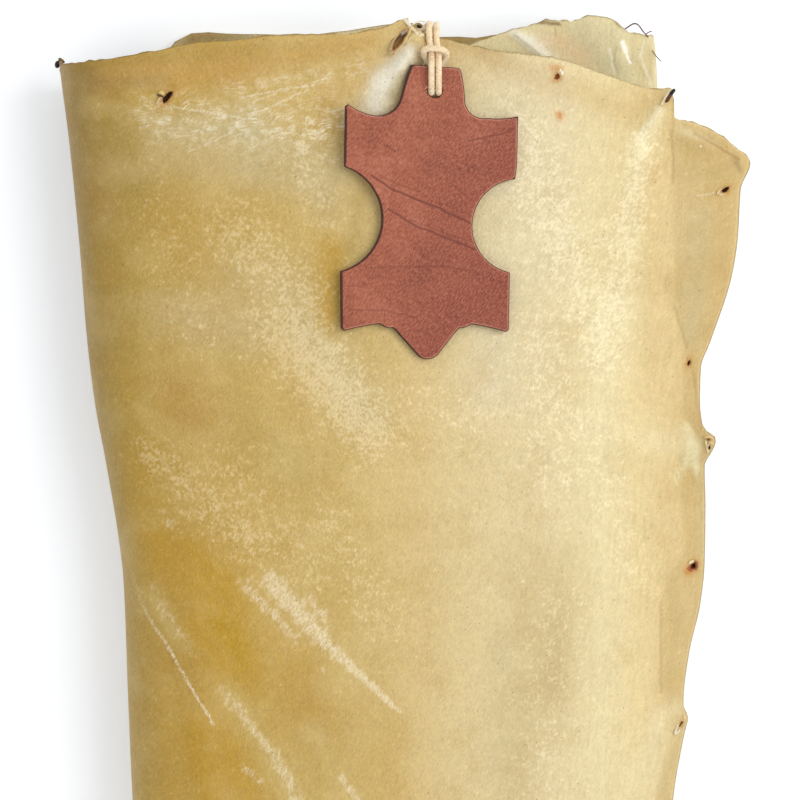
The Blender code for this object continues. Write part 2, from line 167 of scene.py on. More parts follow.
# The scalloped ends
TAG_END = [  # station, along
    (0, 241.2), (1.5, 244.1), (5, 246.5), (14, 252.7), (21, 256), (28, 258.1), (32.4, 259.2),
    (33.6, 270.9), (38.6, 270.5), (44, 271.3), (60, 276.2), (79, 282.4), (106, 285.9), (128, 290.8),
    (135.5, 292), (137.5, 294.5), (140.5, 297.8), (142, 298.2), (148, 295.3), (155, 293.7), (168, 292.2),
    (192, 291.6), (212, 289.6), (227, 288.4), (241, 285.5), (253, 283.4), (266, 281.8), (284, 281),
    (293, 281.4), (297, 283.4), (301, 281), (318, 276), (338, 277), (352, 285), (358, 292.8), (366, 297),
    (395, 296.1), (426, 297.4), (447, 300.3), (459, 301.6), (467, 295.3), (481, 295.1), (500, 296.5),
    (541, 293), (572, 294), (582, 294.2), (584.5, 295.5), (587, 297.9), (591.5, 300.4), (600, 301.3),
    (612.5, 299.2), (621, 299.6), (627.5, 299.2), (639, 296.3), (649, 293.8), (665, 288), (698, 268),
]
TAIL_END = [  # station, along
    (0, -262), (14, -270), (40, -281), (66, -286), (72, -291), (78, -288), (130, -291), (150, -297),
    (170, -293), (240, -292), (266, -287), (297, -284), (330, -287), (372, -294), (382, -300),
    (392, -296), (450, -298), (474, -301.6), (498, -297), (541, -293), (588, -288), (625, -282),
    (660, -272), (698, -256),
]

# Ridges (and, below zero, troughs) that the pegs pulled into the skin on top
RIDGES = [  # from across, along, to across, along, height, half-width from, to
    (6.5, 293, -13, 257, 4.2, 4, 9), (-6, 284, -44, 268, -1.5, 5, 12), (110, 269, 97, 251, 3.2, 3.5, 8),
    (97, 251, 102, 186, 1.8, 8, 12), (127, 126, 118, 108, 2.6, 3, 7), (126, 128, 118, 142, 1.4, 3, 6),
    (113, 11, 103, -14, 1.8, 3, 7), (113, 13, 106, 32, 1.2, 3, 6), (105, -98, 92, -112, 2.4, 3, 7),
    (107, 190, 117, 160, -1.8, 5, 3), (-100, 84, -30, 4, 1.4, 16, 22), (-60, -20, -20, -120, 1.6, 20, 26),
]
RIDGE_ROOT = 0.12  # of a ridge's length, over which it rises and fades


def through(table, column, at):
    """A column of a table, read anywhere along its first column: smooth, and with no overshoot."""
    x, y = np.array([(row[0], row[column]) for row in table], float).T
    slopes = np.diff(y) / np.diff(x)
    before, after = slopes[:-1], slopes[1:]
    same_way = before * after > 0
    bend = np.where(same_way, 2 * before * after / np.where(same_way, before + after, 1), 0)
    tangent = np.concatenate([slopes[:1], bend, slopes[-1:]])
    at = np.clip(at, x[0], x[-1])
    i = np.clip(np.searchsorted(x, at) - 1, 0, len(x) - 2)
    width = x[i + 1] - x[i]
    t = (at - x[i]) / width
    return (
        y[i] * (1 + 2 * t) * (1 - t) ** 2
        + tangent[i] * width * t * (1 - t) ** 2
        + y[i + 1] * t * t * (3 - 2 * t)
        - tangent[i + 1] * width * t * t * (1 - t)
    )


def smooth_step(low, high, at):
    """0 at low, 1 at high, and 3t² - 2t³ between, where t is the share of the way."""
    t = np.clip((at - low) / (high - low), 0, 1)
    return t * t * (3 - 2 * t)


def spline_weights(knots, at):
    """How much each knot adds at each station, for the natural cubic spline through all the knots."""
    n = len(knots)
    gap = np.diff(knots)
    system = np.eye(n)
    right = np.zeros((n, n))
    for k in range(1, n - 1):
        system[k, k - 1 : k + 2] = gap[k - 1], 2 * (gap[k - 1] + gap[k]), gap[k]
        right[k, k - 1 : k + 2] = 6 / gap[k - 1], -6 / gap[k - 1] - 6 / gap[k], 6 / gap[k]
    curvature = np.linalg.solve(system, right)
    i = np.clip(np.searchsorted(knots, at) - 1, 0, n - 2)
    width = gap[i]
    b = ((at - knots[i]) / width)[:, None]
    a = 1 - b
    unit = np.eye(n)
    bent = (a**3 - a) * curvature[i] + (b**3 - b) * curvature[i + 1]
    return a * unit[i] + b * unit[i + 1] + bent * (width**2 / 6)[:, None]


def half_ellipse(outer, foot_up, reach, height, lowest):
    """Five knots round a fold, from its top to its foot, or the other way: (across, height) of each."""
    angles = np.radians([90, 45, 0, -45, -90])
    if foot_up:
        angles = angles[::-1]
    middle = (height + lowest) / 2
    for angle in angles:
        yield outer + reach * (1 - np.cos(angle)), middle + (height - lowest) / 2 * np.sin(angle)


def section_knots(along):
    """The roll's section at each height along it: the knots' stations, and (across, height) of each."""
    left = through(LEFT_FOLD, 1, along)
    free = through(FREE_EDGE, 1, along)
    right = through(RIGHT_FOLD, 1, along)
    inner = through(INNER_END, 1, along)
    openness = through(OPENNESS, 1, along)
    lowest = SKIN_THICKNESS / 2 + 0 * along
    foot, far_foot = left + LEFT_FOLD_REACH, right - RIGHT_FOLD_REACH
    stations, places = [0], [(free, through(FREE_EDGE, 2, along))]
    for station, height in FRONT:
        share = station / LEFT_FOLD_STATIONS[0]
        stations.append(station)
        places.append((free + share * (foot - free), height * openness))
    stations += LEFT_FOLD_STATIONS
    places += half_ellipse(left, False, LEFT_FOLD_REACH, LEFT_FOLD_HEIGHT * openness, lowest)
    for k, station in enumerate(BACK_STATIONS, 1):
        share = k / (len(BACK_STATIONS) + 1)
        stations.append(station)
        places.append((foot + share * (far_foot - foot), BACK_PRESSED + 0 * along))
    stations += RIGHT_FOLD_STATIONS
    places += half_ellipse(right, True, -RIGHT_FOLD_REACH, RIGHT_FOLD_HEIGHT * openness, lowest)
    for station, share, height in INNER:
        stations.append(station)
        places.append((far_foot + share * (inner - far_foot), height * openness))
    return np.array(stations, float), places


def bell_lines(rows, fading, across, along):
    """How far lines of relief lift the sheet: each has a bell-shaped section, exp(-q²), where q is the
    distance from the line over its half-width there, and fades as fading says of the share along it."""
    lift = np.zeros(np.broadcast(across, along).shape)
    for x0, y0, x1, y1, height, width0, width1 in rows:
        length = math.hypot(x1 - x0, y1 - y0)
        ux, uy = (x1 - x0) / length, (y1 - y0) / length
        share = ((across - x0) * ux + (along - y0) * uy) / length
        aside = (across - x0) * uy - (along - y0) * ux
        width = width0 + (width1 - width0) * np.clip(share, 0, 1)
        lift = lift + height * fading(share) * np.exp(-((aside / width) ** 2))
    return lift


def ridge_fading(share):
    """A ridge rises over its root, and then fades slowly, to nothing just past its end."""
    fade = np.clip((1 + RIDGE_ROOT - share) / (1 - RIDGE_ROOT), 0, 1)
    return smooth_step(-RIDGE_ROOT, RIDGE_ROOT, share) * smooth_step(0, 1, fade)


def skin_points(stations, along):
    """Places on the middle of the sheet, for a grid of columns (stations) and rows (heights along)."""
    knots, places = section_knots(along)
    weights = spline_weights(knots, stations)
    across = sum(w[:, None] * x for w, (x, z) in zip(weights.T, places))
    height = sum(w[:, None] * z for w, (x, z) in zip(weights.T, places))
    on_top = np.clip((LEFT_FOLD_STATIONS[0] - stations) / TOP_FADE, 0, 1)[:, None]
    height = height + on_top * bell_lines(RIDGES, ridge_fading, across, along)
    return across, along + 0 * across, np.maximum(height, SKIN_THICKNESS / 2)


def over_the_top(along):
    """The top's section at one place along the roll: across, height and station, from left to right."""
    stations = np.linspace(0, LEFT_FOLD_STATIONS[1], TOP_SAMPLES)
    x, _, z = skin_points(stations, np.full((len(stations), 1), float(along)))
    return x[::-1, 0], z[::-1, 0], stations[::-1]


def top_face(across, along):
    """The height of the skin's upper face at one place on top."""
    x, z, _ = over_the_top(along)
    return float(np.interp(across, x, z)) + SKIN_THICKNESS / 2


# ---- The cord ------------------------------------------------------------------------------------
# An undyed cotton cord of five soft strands, doubled through the tag's hole in a lark's-head knot. Its two
# ends go over the skin's end and stop behind it. It lies on the skin, and the tag lies on it.
CORD_SIDES = 20
STRANDS = 5
STRAND_DEPTH = 0.07  # of the radius
STRAND_TURN = 12.0  # of cord, for one turn of a strand
CORD_FINE = 0.6  # between the points of its line
ROUTE_FINE = 24  # points from one place of a route to the next
SKIN_READ_TO = 290.0  # along: beyond it the cord's height is from the skin's face there
# The cord's route: from one end behind the skin, over the skin's end, under the knot's bight, through the
# tag, round the bight and back the same way. Height is from the skin's upper face.
CORD_ROUTE = [  # across, along, height
    (-9, 286.5, -4), (-3, 289, -4.4), (3, 292.2, -5.2), (7.4, 294.2, -3.8), (9.4, 295.8, -1.4),
    (9.8, 296, 1.2), (9.8, 293.8, 2.4), (9.9, 290, 2.2), (10.4, 286.5, 2.5), (10.7, 284, 3.8),
    (10.8, 281.6, 6.9), (10.8, 279, 8.5), (10.8, 274.5, 8.4), (10.8, 270.3, 7.9), (10.8, 267.8, 4.9),
    (10.8, 269.9, 1.9), (10.7, 274.5, 1.8), (10.1, 279, 2.1), (8.1, 282.4, 2.9), (7.7, 284.6, 5.2),
    (9.6, 285.6, 7.1), (12.3, 285.5, 7.4), (15, 285.2, 7), (16.8, 284, 4.9), (16.3, 281.8, 2.7),
    (14.5, 278.6, 1.8), (13.8, 274.3, 1.7), (13.7, 269.9, 1.9), (13.7, 267.8, 4.9), (13.7, 270.3, 7.9),
    (13.7, 274.5, 8.4), (13.7, 279, 8.5), (13.7, 281.6, 6.9), (13.6, 284, 3.8), (13.3, 286.5, 2.5),
    (12.8, 290, 2.2), (12.8, 293.6, 2.4), (12.8, 295.8, 1.2), (12.6, 295.4, -1.6), (10.8, 292.2, -5),
    (5.5, 288.8, -6.6), (-0.5, 285, -5.6), (-7, 282.6, -4.2),
]


def run_along(line):
    """How far along a line each of its points is."""
    return np.concatenate([[0], np.cumsum(np.linalg.norm(np.diff(line, axis=0), axis=1))])


def smooth_route(route, step):
    """Points a step apart on a Catmull-Rom curve through the route's own points."""
    p = np.array(route, float)
    p = np.concatenate([2 * p[:1] - p[1:2], p, 2 * p[-1:] - p[-2:-1]])
    t = np.linspace(0, 1, ROUTE_FINE, endpoint=False)[:, None]
    dense = [
        0.5 * (2 * b + (c - a) * t + (2 * a - 5 * b + 4 * c - d) * t**2 + (3 * b - a - 3 * c + d) * t**3)
        for a, b, c, d in zip(p, p[1:], p[2:], p[3:])
    ]
    line = np.concatenate([*dense, p[-2:-1]])
    length = run_along(line)
    at = np.linspace(0, length[-1], round(length[-1] / step) + 1)
    return np.stack([np.interp(at, length, line[:, k]) for k in range(3)], 1)


def dye_all(colours):
    """Colours as they look on a screen, 0 to 255, as the light that the shaders work with."""
    c = np.asarray(colours, float) / 255
    return np.where(c <= 0.04045, c / 12.92, ((c + 0.055) / 1.055) ** 2.4)


def dye(colour):
    """One such colour, for a node's socket."""
    return (*dye_all(colour).tolist(), 1.0)


class Shade:
    """A socket of a material's nodes. Arithmetic on it adds Math nodes, and node() adds any other kind."""

    def __init__(self, tree, socket=None):
        self.tree, self.socket = tree, socket

    def node(self, kind, settings=None, inputs=None, out=0):
        """A node of a kind, with its settings, and its inputs' values or links."""
        made = self.tree.nodes.new(kind)
        for name, value in (settings or {}).items():
            setattr(made, name, value)
        for name, value in (inputs or {}).items():
            if isinstance(value, Shade):
                self.tree.links.new(value.socket, made.inputs[name])
            else:
                made.inputs[name].default_value = value
        return Shade(self.tree, made.outputs[out])

    def math(self, operation, first, second=0.0):
        """A Math node."""
        return self.node("ShaderNodeMath", {"operation": operation}, {0: first, 1: second})

    def __add__(self, other):
        return self.math("ADD", self, other)

    def __sub__(self, other):
        return self.math("SUBTRACT", self, other)

    def __rsub__(self, other):
        return self.math("SUBTRACT", other, self)

    def __mul__(self, other):
        return self.math("MULTIPLY", self, other)

    __radd__, __rmul__ = __add__, __mul__

    def least(self, other):
        """The lesser of the two."""
        return self.math("MINIMUM", self, other)

    def most(self, other):
        """The greater of the two."""
        return self.math("MAXIMUM", self, other)

    def size(self):
        """This number without its sign."""
        return self.math("ABSOLUTE", self)

    def rise(self, low, high):
        """0 below low, 1 above high, and smooth between. With high below low it falls."""
        limits = {0: self, 1: low, 2: high, 3: 0.0, 4: 1.0}
        return self.node("ShaderNodeMapRange", {"interpolation_type": "SMOOTHSTEP"}, limits)

    def tint(self, amount, other):
        """This colour with another laid over it: a Shade, or red, green and blue as on a screen."""
        colour = other if isinstance(other, Shade) else dye(other)
        return self.node("ShaderNodeMix", {"data_type": "RGBA"}, {0: amount, 6: self, 7: colour}, 2)

    def ramp(self, *stops):
        """The colour of this value on a ramp. Each stop is its place and its red, green and blue."""
        made = self.node("ShaderNodeValToRGB", None, {0: self})
        elements = made.socket.node.color_ramp.elements
        elements.remove(elements[1])
        elements[0].position, elements[0].color = stops[0][0], dye(stops[0][1:])
        for place, *colour in stops[1:]:
            elements.new(place).color = dye(colour)
        return made

    def vector(self, operation, other, out=0):
        """A Vector Math node. Output 1 is its number."""
        return self.node("ShaderNodeVectorMath", {"operation": operation}, {0: self, 1: other}, out)

    def scaled(self, amount):
        """This vector or colour times a number."""
        return self.node("ShaderNodeVectorMath", {"operation": "SCALE"}, {0: self, "Scale": amount})

    def twin(self, out):
        """Another output of the same node."""
        return Shade(self.tree, self.socket.node.outputs[out])

    def parts(self):
        """A colour's or vector's three numbers."""
        first = self.node("ShaderNodeSeparateColor", None, {0: self})
        return first, first.twin(1), first.twin(2)

    def place(self, upright=1):
        """Where the spot is on the piece, in millimetres. With upright 0 its height is left out."""
        corner = self.node("ShaderNodeTexCoord", None, None, 3)
        return corner.vector("MULTIPLY", (1 / MM, 1 / MM, upright / MM))

    def painted(self, name):
        """What paint() put on the piece under a name."""
        return self.node("ShaderNodeAttribute", {"attribute_name": name})

    def noise(self, scale, detail, rough=0.5, out=0):
        """Noise from 0 to 1, with scale lumps to a unit of this place. Output 1 is its colour."""
        values = {"Vector": self, "Scale": scale, "Detail": detail, "Roughness": rough}
        return self.node("ShaderNodeTexNoise", None, values, out)

    def cells(self, scale):
        """How far the spot is from the middle of its cell, in cells. Twin 1 is the cell's own colour."""
        return self.node("ShaderNodeTexVoronoi", None, {"Vector": self, "Scale": scale})

    def stretched(self, turn, long, short):
        """A place measured in grains that are long one way, turned from across, and short the other."""
        values = {"Vector": self, "Rotation": (0, 0, turn), "Scale": (long, short, 1)}
        return self.node("ShaderNodeMapping", {"vector_type": "TEXTURE"}, values)


def new_material(name, roughness, specular, sheen=0.0, subsurface=0.0):
    """A Principled material and the Shade that its nodes grow from. Constants sit on the sockets."""
    made = bpy.data.materials.new(name)
    made.use_nodes = True
    shader = made.node_tree.nodes["Principled BSDF"]
    set_inputs(shader, {"Roughness": roughness, "Specular IOR Level": specular, "Sheen Weight": sheen})
    if subsurface:
        values = {"Weight": subsurface, "Radius": (1.0, 0.55, 0.25), "Scale": 2.5 * MM}
        set_inputs(shader, {"Subsurface " + part: value for part, value in values.items()})
    return made, shader, Shade(made.node_tree)


def wear(shader, colour, roughness, height, depth):
    """Feeds a material's varying colour, roughness (None keeps it even) and bump into its shader."""
    bump = height.node("ShaderNodeBump", None, {"Height": height, "Distance": depth * MM})
    for name, source in (("Base Color", colour), ("Roughness", roughness), ("Normal", bump)):
        if source:
            shader.id_data.links.new(source.socket, shader.inputs[name])


def quads(corner, turned=False):
    """The four-sided faces of a grid of corners. turned makes them face the other way."""
    faces = np.stack([corner[:-1, :-1], corner[:-1, 1:], corner[1:, 1:], corner[1:, :-1]], -1)
    return faces[..., [0, 3, 2, 1]] if turned else faces


def never_taken(run):
    """The direction, of 300 spread evenly over a sphere, that a line's directions come least near to."""
    step = np.arange(300) + 0.5
    level, swing = 1 - step / 150, step * math.pi * (3 - math.sqrt(5))
    flat = np.sqrt(1 - level**2)
    ways = np.stack([flat * np.cos(swing), flat * np.sin(swing), level], 1)
    return ways[np.argmin(np.abs(run @ ways.T).max(0))]


def tube(line, radius, sides, lobes=0, depth=0.0, turn=1.0):
    """A closed tube: circles of sides points round each point of a line, square to it and shrunk at both
    ends. lobes is how many strands show round it; they go round once in each turn of its length."""
    line = np.asarray(line, float)
    run = np.gradient(line, axis=0)
    run /= np.linalg.norm(run, axis=1, keepdims=True)
    side = np.cross(run, never_taken(run))
    side /= np.linalg.norm(side, axis=1, keepdims=True)
    up = np.cross(side, run)
    length = run_along(line)[:, None]
    angle = np.linspace(0, 2 * np.pi, sides, endpoint=False)[None, :]
    strand = 1.0
    if lobes:
        strand = 1 - depth * (0.5 + 0.5 * np.cos(lobes * angle - 2 * np.pi * lobes * length / turn))
    r = radius * strand * np.ones((len(line), sides))
    ends = np.minimum(length, length[-1] - length) / radius
    r = r * np.sqrt(1 - (1 - np.clip(ends, 0.05, 1)) ** 2)
    ring = (np.cos(angle) * r)[..., None] * side[:, None] + (np.sin(angle) * r)[..., None] * up[:, None]
    corner = np.arange(len(line) * sides).reshape(-1, sides)
    faces = quads(np.append(corner, corner[:, :1], 1), True).reshape(-1, 4).tolist()
    caps = [corner[0].tolist(), corner[-1, ::-1].tolist()]
    return (line[:, None] + ring).reshape(-1, 3), faces + caps


def joined(parts):
    """Several lots of points and faces as one."""
    points, faces, before = [], [], 0
    for some, corners in parts:
        points.append(some)
        faces += [[c + before for c in f] for f in corners]
        before += len(some)
    return np.concatenate(points), faces


cotton, cotton_shader, yarn = new_material("cotton", 0.92, 0.2, sheen=0.35)
at = yarn.place()
strands = at.noise(1.3, 3, 0.6)
fluff = at.noise(6.0, 2, 0.7)
shadow_side = at.noise(0.35, 1)
cotton_tones = (strands * 0.7 + shadow_side * 0.3).ramp(
    (0.28, 192, 154, 106), (0.48, 240, 215, 174), (0.72, 255, 242, 216)
)
wear(cotton_shader, cotton_tones, None, strands * 0.6 + fluff * 0.4, 0.25)

route = [(x, y, h + top_face(x, min(y, SKIN_READ_TO))) for x, y, h in CORD_ROUTE]
cord_line = smooth_route(route, CORD_FINE)
yarn_mesh = tube(cord_line, CORD_DIAMETER / 2, CORD_SIDES, STRANDS, STRAND_DEPTH, STRAND_TURN)
cord = put_mesh("tag_cord_yarn", *yarn_mesh, cotton)
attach(cord, "root")
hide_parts("tag_cord")

# Loose fibres stand off the yarn, thickest about the middle of its length, where the knot is.
FUZZ = 230
FUZZ_LENGTH = (1.2, 3.4)
FUZZ_HALF = 0.045
FUZZ_ROOT = 0.9  # from the cord's own line
fuzz_chance = np.random.default_rng(11)
where = np.clip(fuzz_chance.beta(2.2, 2.2, FUZZ) * len(cord_line), 2, len(cord_line) - 3).astype(int)
lean = fuzz_chance.normal(size=(FUZZ, 3)) + (0, 0, 0.5)
lean /= np.linalg.norm(lean, axis=1, keepdims=True)
reach = fuzz_chance.uniform(*FUZZ_LENGTH, FUZZ)[:, None]
curl = fuzz_chance.normal(0, 0.5, (FUZZ, 3))
t = np.linspace(0, 1, 6)[:, None]
hairs = [
    tube(cord_line[k] + way * (FUZZ_ROOT + t * far) + bend * t * t, FUZZ_HALF, 4)
    for k, way, far, bend in zip(where, lean, reach, curl)
]
fuzz = put_mesh("cord_fuzz", *joined(hairs), cotton)
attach(fuzz, "root")

# ---- The hide ------------------------------------------------------------------------------------
# Dried cowhide, scraped and stretched raw, a little over a millimetre thick: horny, translucent and buff,
# with paler grain where the scraper went and brown rings where the pegs tore it. One sheet, rolled up.
SPREAD = 580.0  # the sheet's length, over which the grid's rows are counted
COLUMN_GAPS = [  # station, spacing
    (0, 0.9), (12, 1.5), (28, 1.5), (31.5, 0.5), (34.4, 0.5), (37, 1.5), (60, 2.5), (226, 2.7), (255, 2.5),
    (333, 2.8), (345, 7), (540, 8), (552, 3), (588, 2.4), (640, 2.4), (660, 3.5), (698, 4.5),
]
ROW_GAPS = [  # from the tail's end, spacing
    (0, 6), (230, 5.5), (275, 3.2), (535, 3.0), (558, 1.2), (580, 0.9),
]
TEAR_GAP = (1.1, 0.25)  # the spacing at a torn place, and how it grows with the distance
BODY_END = [  # station, along: the tag's end without its scallops
    (0, 246), (31, 264), (70, 280), (140, 291), (360, 293), (640, 292), (698, 272),
]
SCALLOPS_FROM = 520.0  # from the tail's end: the rows beyond it bend to the scallops
RAGGED = 0.35  # how unevenly both ends are cut
SWELL = 0.35  # height of the slow waves on top
FRONT_ENDS = (265, 287)  # the stations between which the front gives way to the left fold
BACK_SIDE = (333, 345, 540, 560)  # between these stations the back starts, and ends
INNER_SIDE = (560, 600)  # and here the layer inside starts
REAR = (330, 352, 380, 420)  # the part of the back that looks out over the front's end
REAR_FROM = 9.0  # how far from its end it starts to rise
REAR_RISE = 3.2  # and how far it rises
LIP_RISE = 0.9  # of the skin round a torn hole
CHAR_REACH = 1.4  # from a torn hole's rim, to where its brown has faded to a third
EDGE_REACH = 12.0  # the distance from the sheet's edge is told up to this
NO_MARGIN = -20.0  # stands for a place that is not on top
BACK_FROM = (318, 345)  # the stations between which the tone turns to the back's
INNER_FROM = (535, 565)  # and to the inner layer's
# across, along, length, width, turn in degrees, cells each way (0: not torn open), how browned, shade inside
# (the torn hide's own colour, darkened in most holes as painted shade of the opening)
PEG_HOLES = {
    "fold": (-97.2, 266.1, 6.6, 2.3, 48, 2, 0.55, (76, 40, 20)),
    "cord": (-1.9, 289.6, 10.6, 3.1, 56, 3, 0.40, (172, 128, 72)),
    "crown": (62.3, 275.0, 3.4, 2.0, 58, 1, 0.55, (214, 140, 76)),
    "corner": (108.6, 267.0, 6.4, 1.5, 53, 0, 0.30, (20, 12, 10)),
    "shoulder": (132.4, 229.5, 4.4, 1.9, 30, 2, 0.50, (84, 36, 24)),
    "pinhole": (117.2, 157.8, 2.7, 1.3, 74, 1, 0.60, (110, 62, 30)),
    "nub": (125.6, 123.2, 2.4, 1.0, 70, 0, 0.30, (24, 14, 12)),
    "hip": (119.2, 73.9, 3.6, 2.2, 25, 1, 0.90, (128, 46, 22)),
    "low": (113.9, 8.4, 4.6, 1.2, 63, 1, 0.35, (112, 70, 40)),
}
HOLE_REACH = 3.0  # how many times its own size a hole draws the grid round it
PEG_STAINS = [(63.3, 259.6, 1.7, 0.25)]  # pegs that didn't tear through: across, along, radius, how browned
CREASES = [  # from across, along, to across, along, height, half-width from, to
    (6, 292, -9.5, 264, 1.6, 1.6, 4), (9, 290, 1, 266, -1, 1.5, 3),
    (122.6, 251.6, 132.4, 245.5, -1.4, 1.2, 1.6), (121.5, 248.5, 131, 242.5, 1, 1.6, 2.2),
    (106, 262, 97, 249, 1.3, 1.2, 3), (126, 228, 116, 226, -0.7, 1, 1.6),
    (-100, 266, -78, 262, 0.7, 1.6, 3), (-96, 271, -82, 276, 0.5, 1.4, 2.4),
    (60, 273, 48, 262, 0.6, 1.6, 3.5), (122, 122, 112, 118, 0.9, 1.2, 3), (109, 6, 100, -8, 1.1, 1.4, 4),
]
INNER_CREASES = [  # the same, on the layer inside
    (43, 296, 61.5, 281, 1.8, 1.2, 2), (96, 292, 99, 271, 1.4, 1, 1.4), (88, 296, 90, 272, 1.2, 1.2, 2),
    (20, 292, 38, 276, 1, 1.5, 3),
]
TONE_AND_SHADE_ACROSS = [  # across, and the colour there: the hide's own tone with painted shade, darker towards the left fold and towards the free edge
    (-135, 162, 133, 66), (-121, 174, 145, 73), (-104.5, 190, 159, 82), (-84, 198, 166, 92),
    (-63.5, 204, 173, 100), (-43, 209, 180, 113), (-22.5, 214, 187, 124), (-2, 220, 194, 136),
    (18.5, 226, 205, 156), (39, 230, 212, 169), (59.5, 233, 216, 175), (80, 239, 223, 180),
    (96, 237, 217, 168), (109, 224, 201, 150), (129, 216, 187, 132),
]
BACK_TONE = (186, 160, 104)
INNER_TONE = (232, 221, 180)
LIGHTNESS = (0.88, 0.856, 0.76)  # of the dyes' red, green and blue, in the studio's light
SHADES = dict(
    umber=(150, 120, 68), honey=(203, 162, 88), straw=(190, 168, 112), olive=(170, 143, 74),
    bone=(208, 193, 152), ochre=(180, 140, 72), slate=(172, 153, 98), amber=(186, 148, 46),
    saffron=(190, 150, 16), cream=(244, 232, 194), tan=(213, 186, 128),
    apricot=(226, 198, 144), chalk=(255, 255, 252), peach=(230, 190, 150), gold=(194, 153, 40),
    bronze=(178, 143, 66), bark=(120, 92, 50), rust=(212, 134, 44), ash=(198, 191, 158),
    # ridge below is the colour of painted shade, beside the ridge under the cord
    ridge=(166, 152, 106), sand=(214, 192, 130), milk=(255, 246, 208), pearl=(234, 222, 194),
)
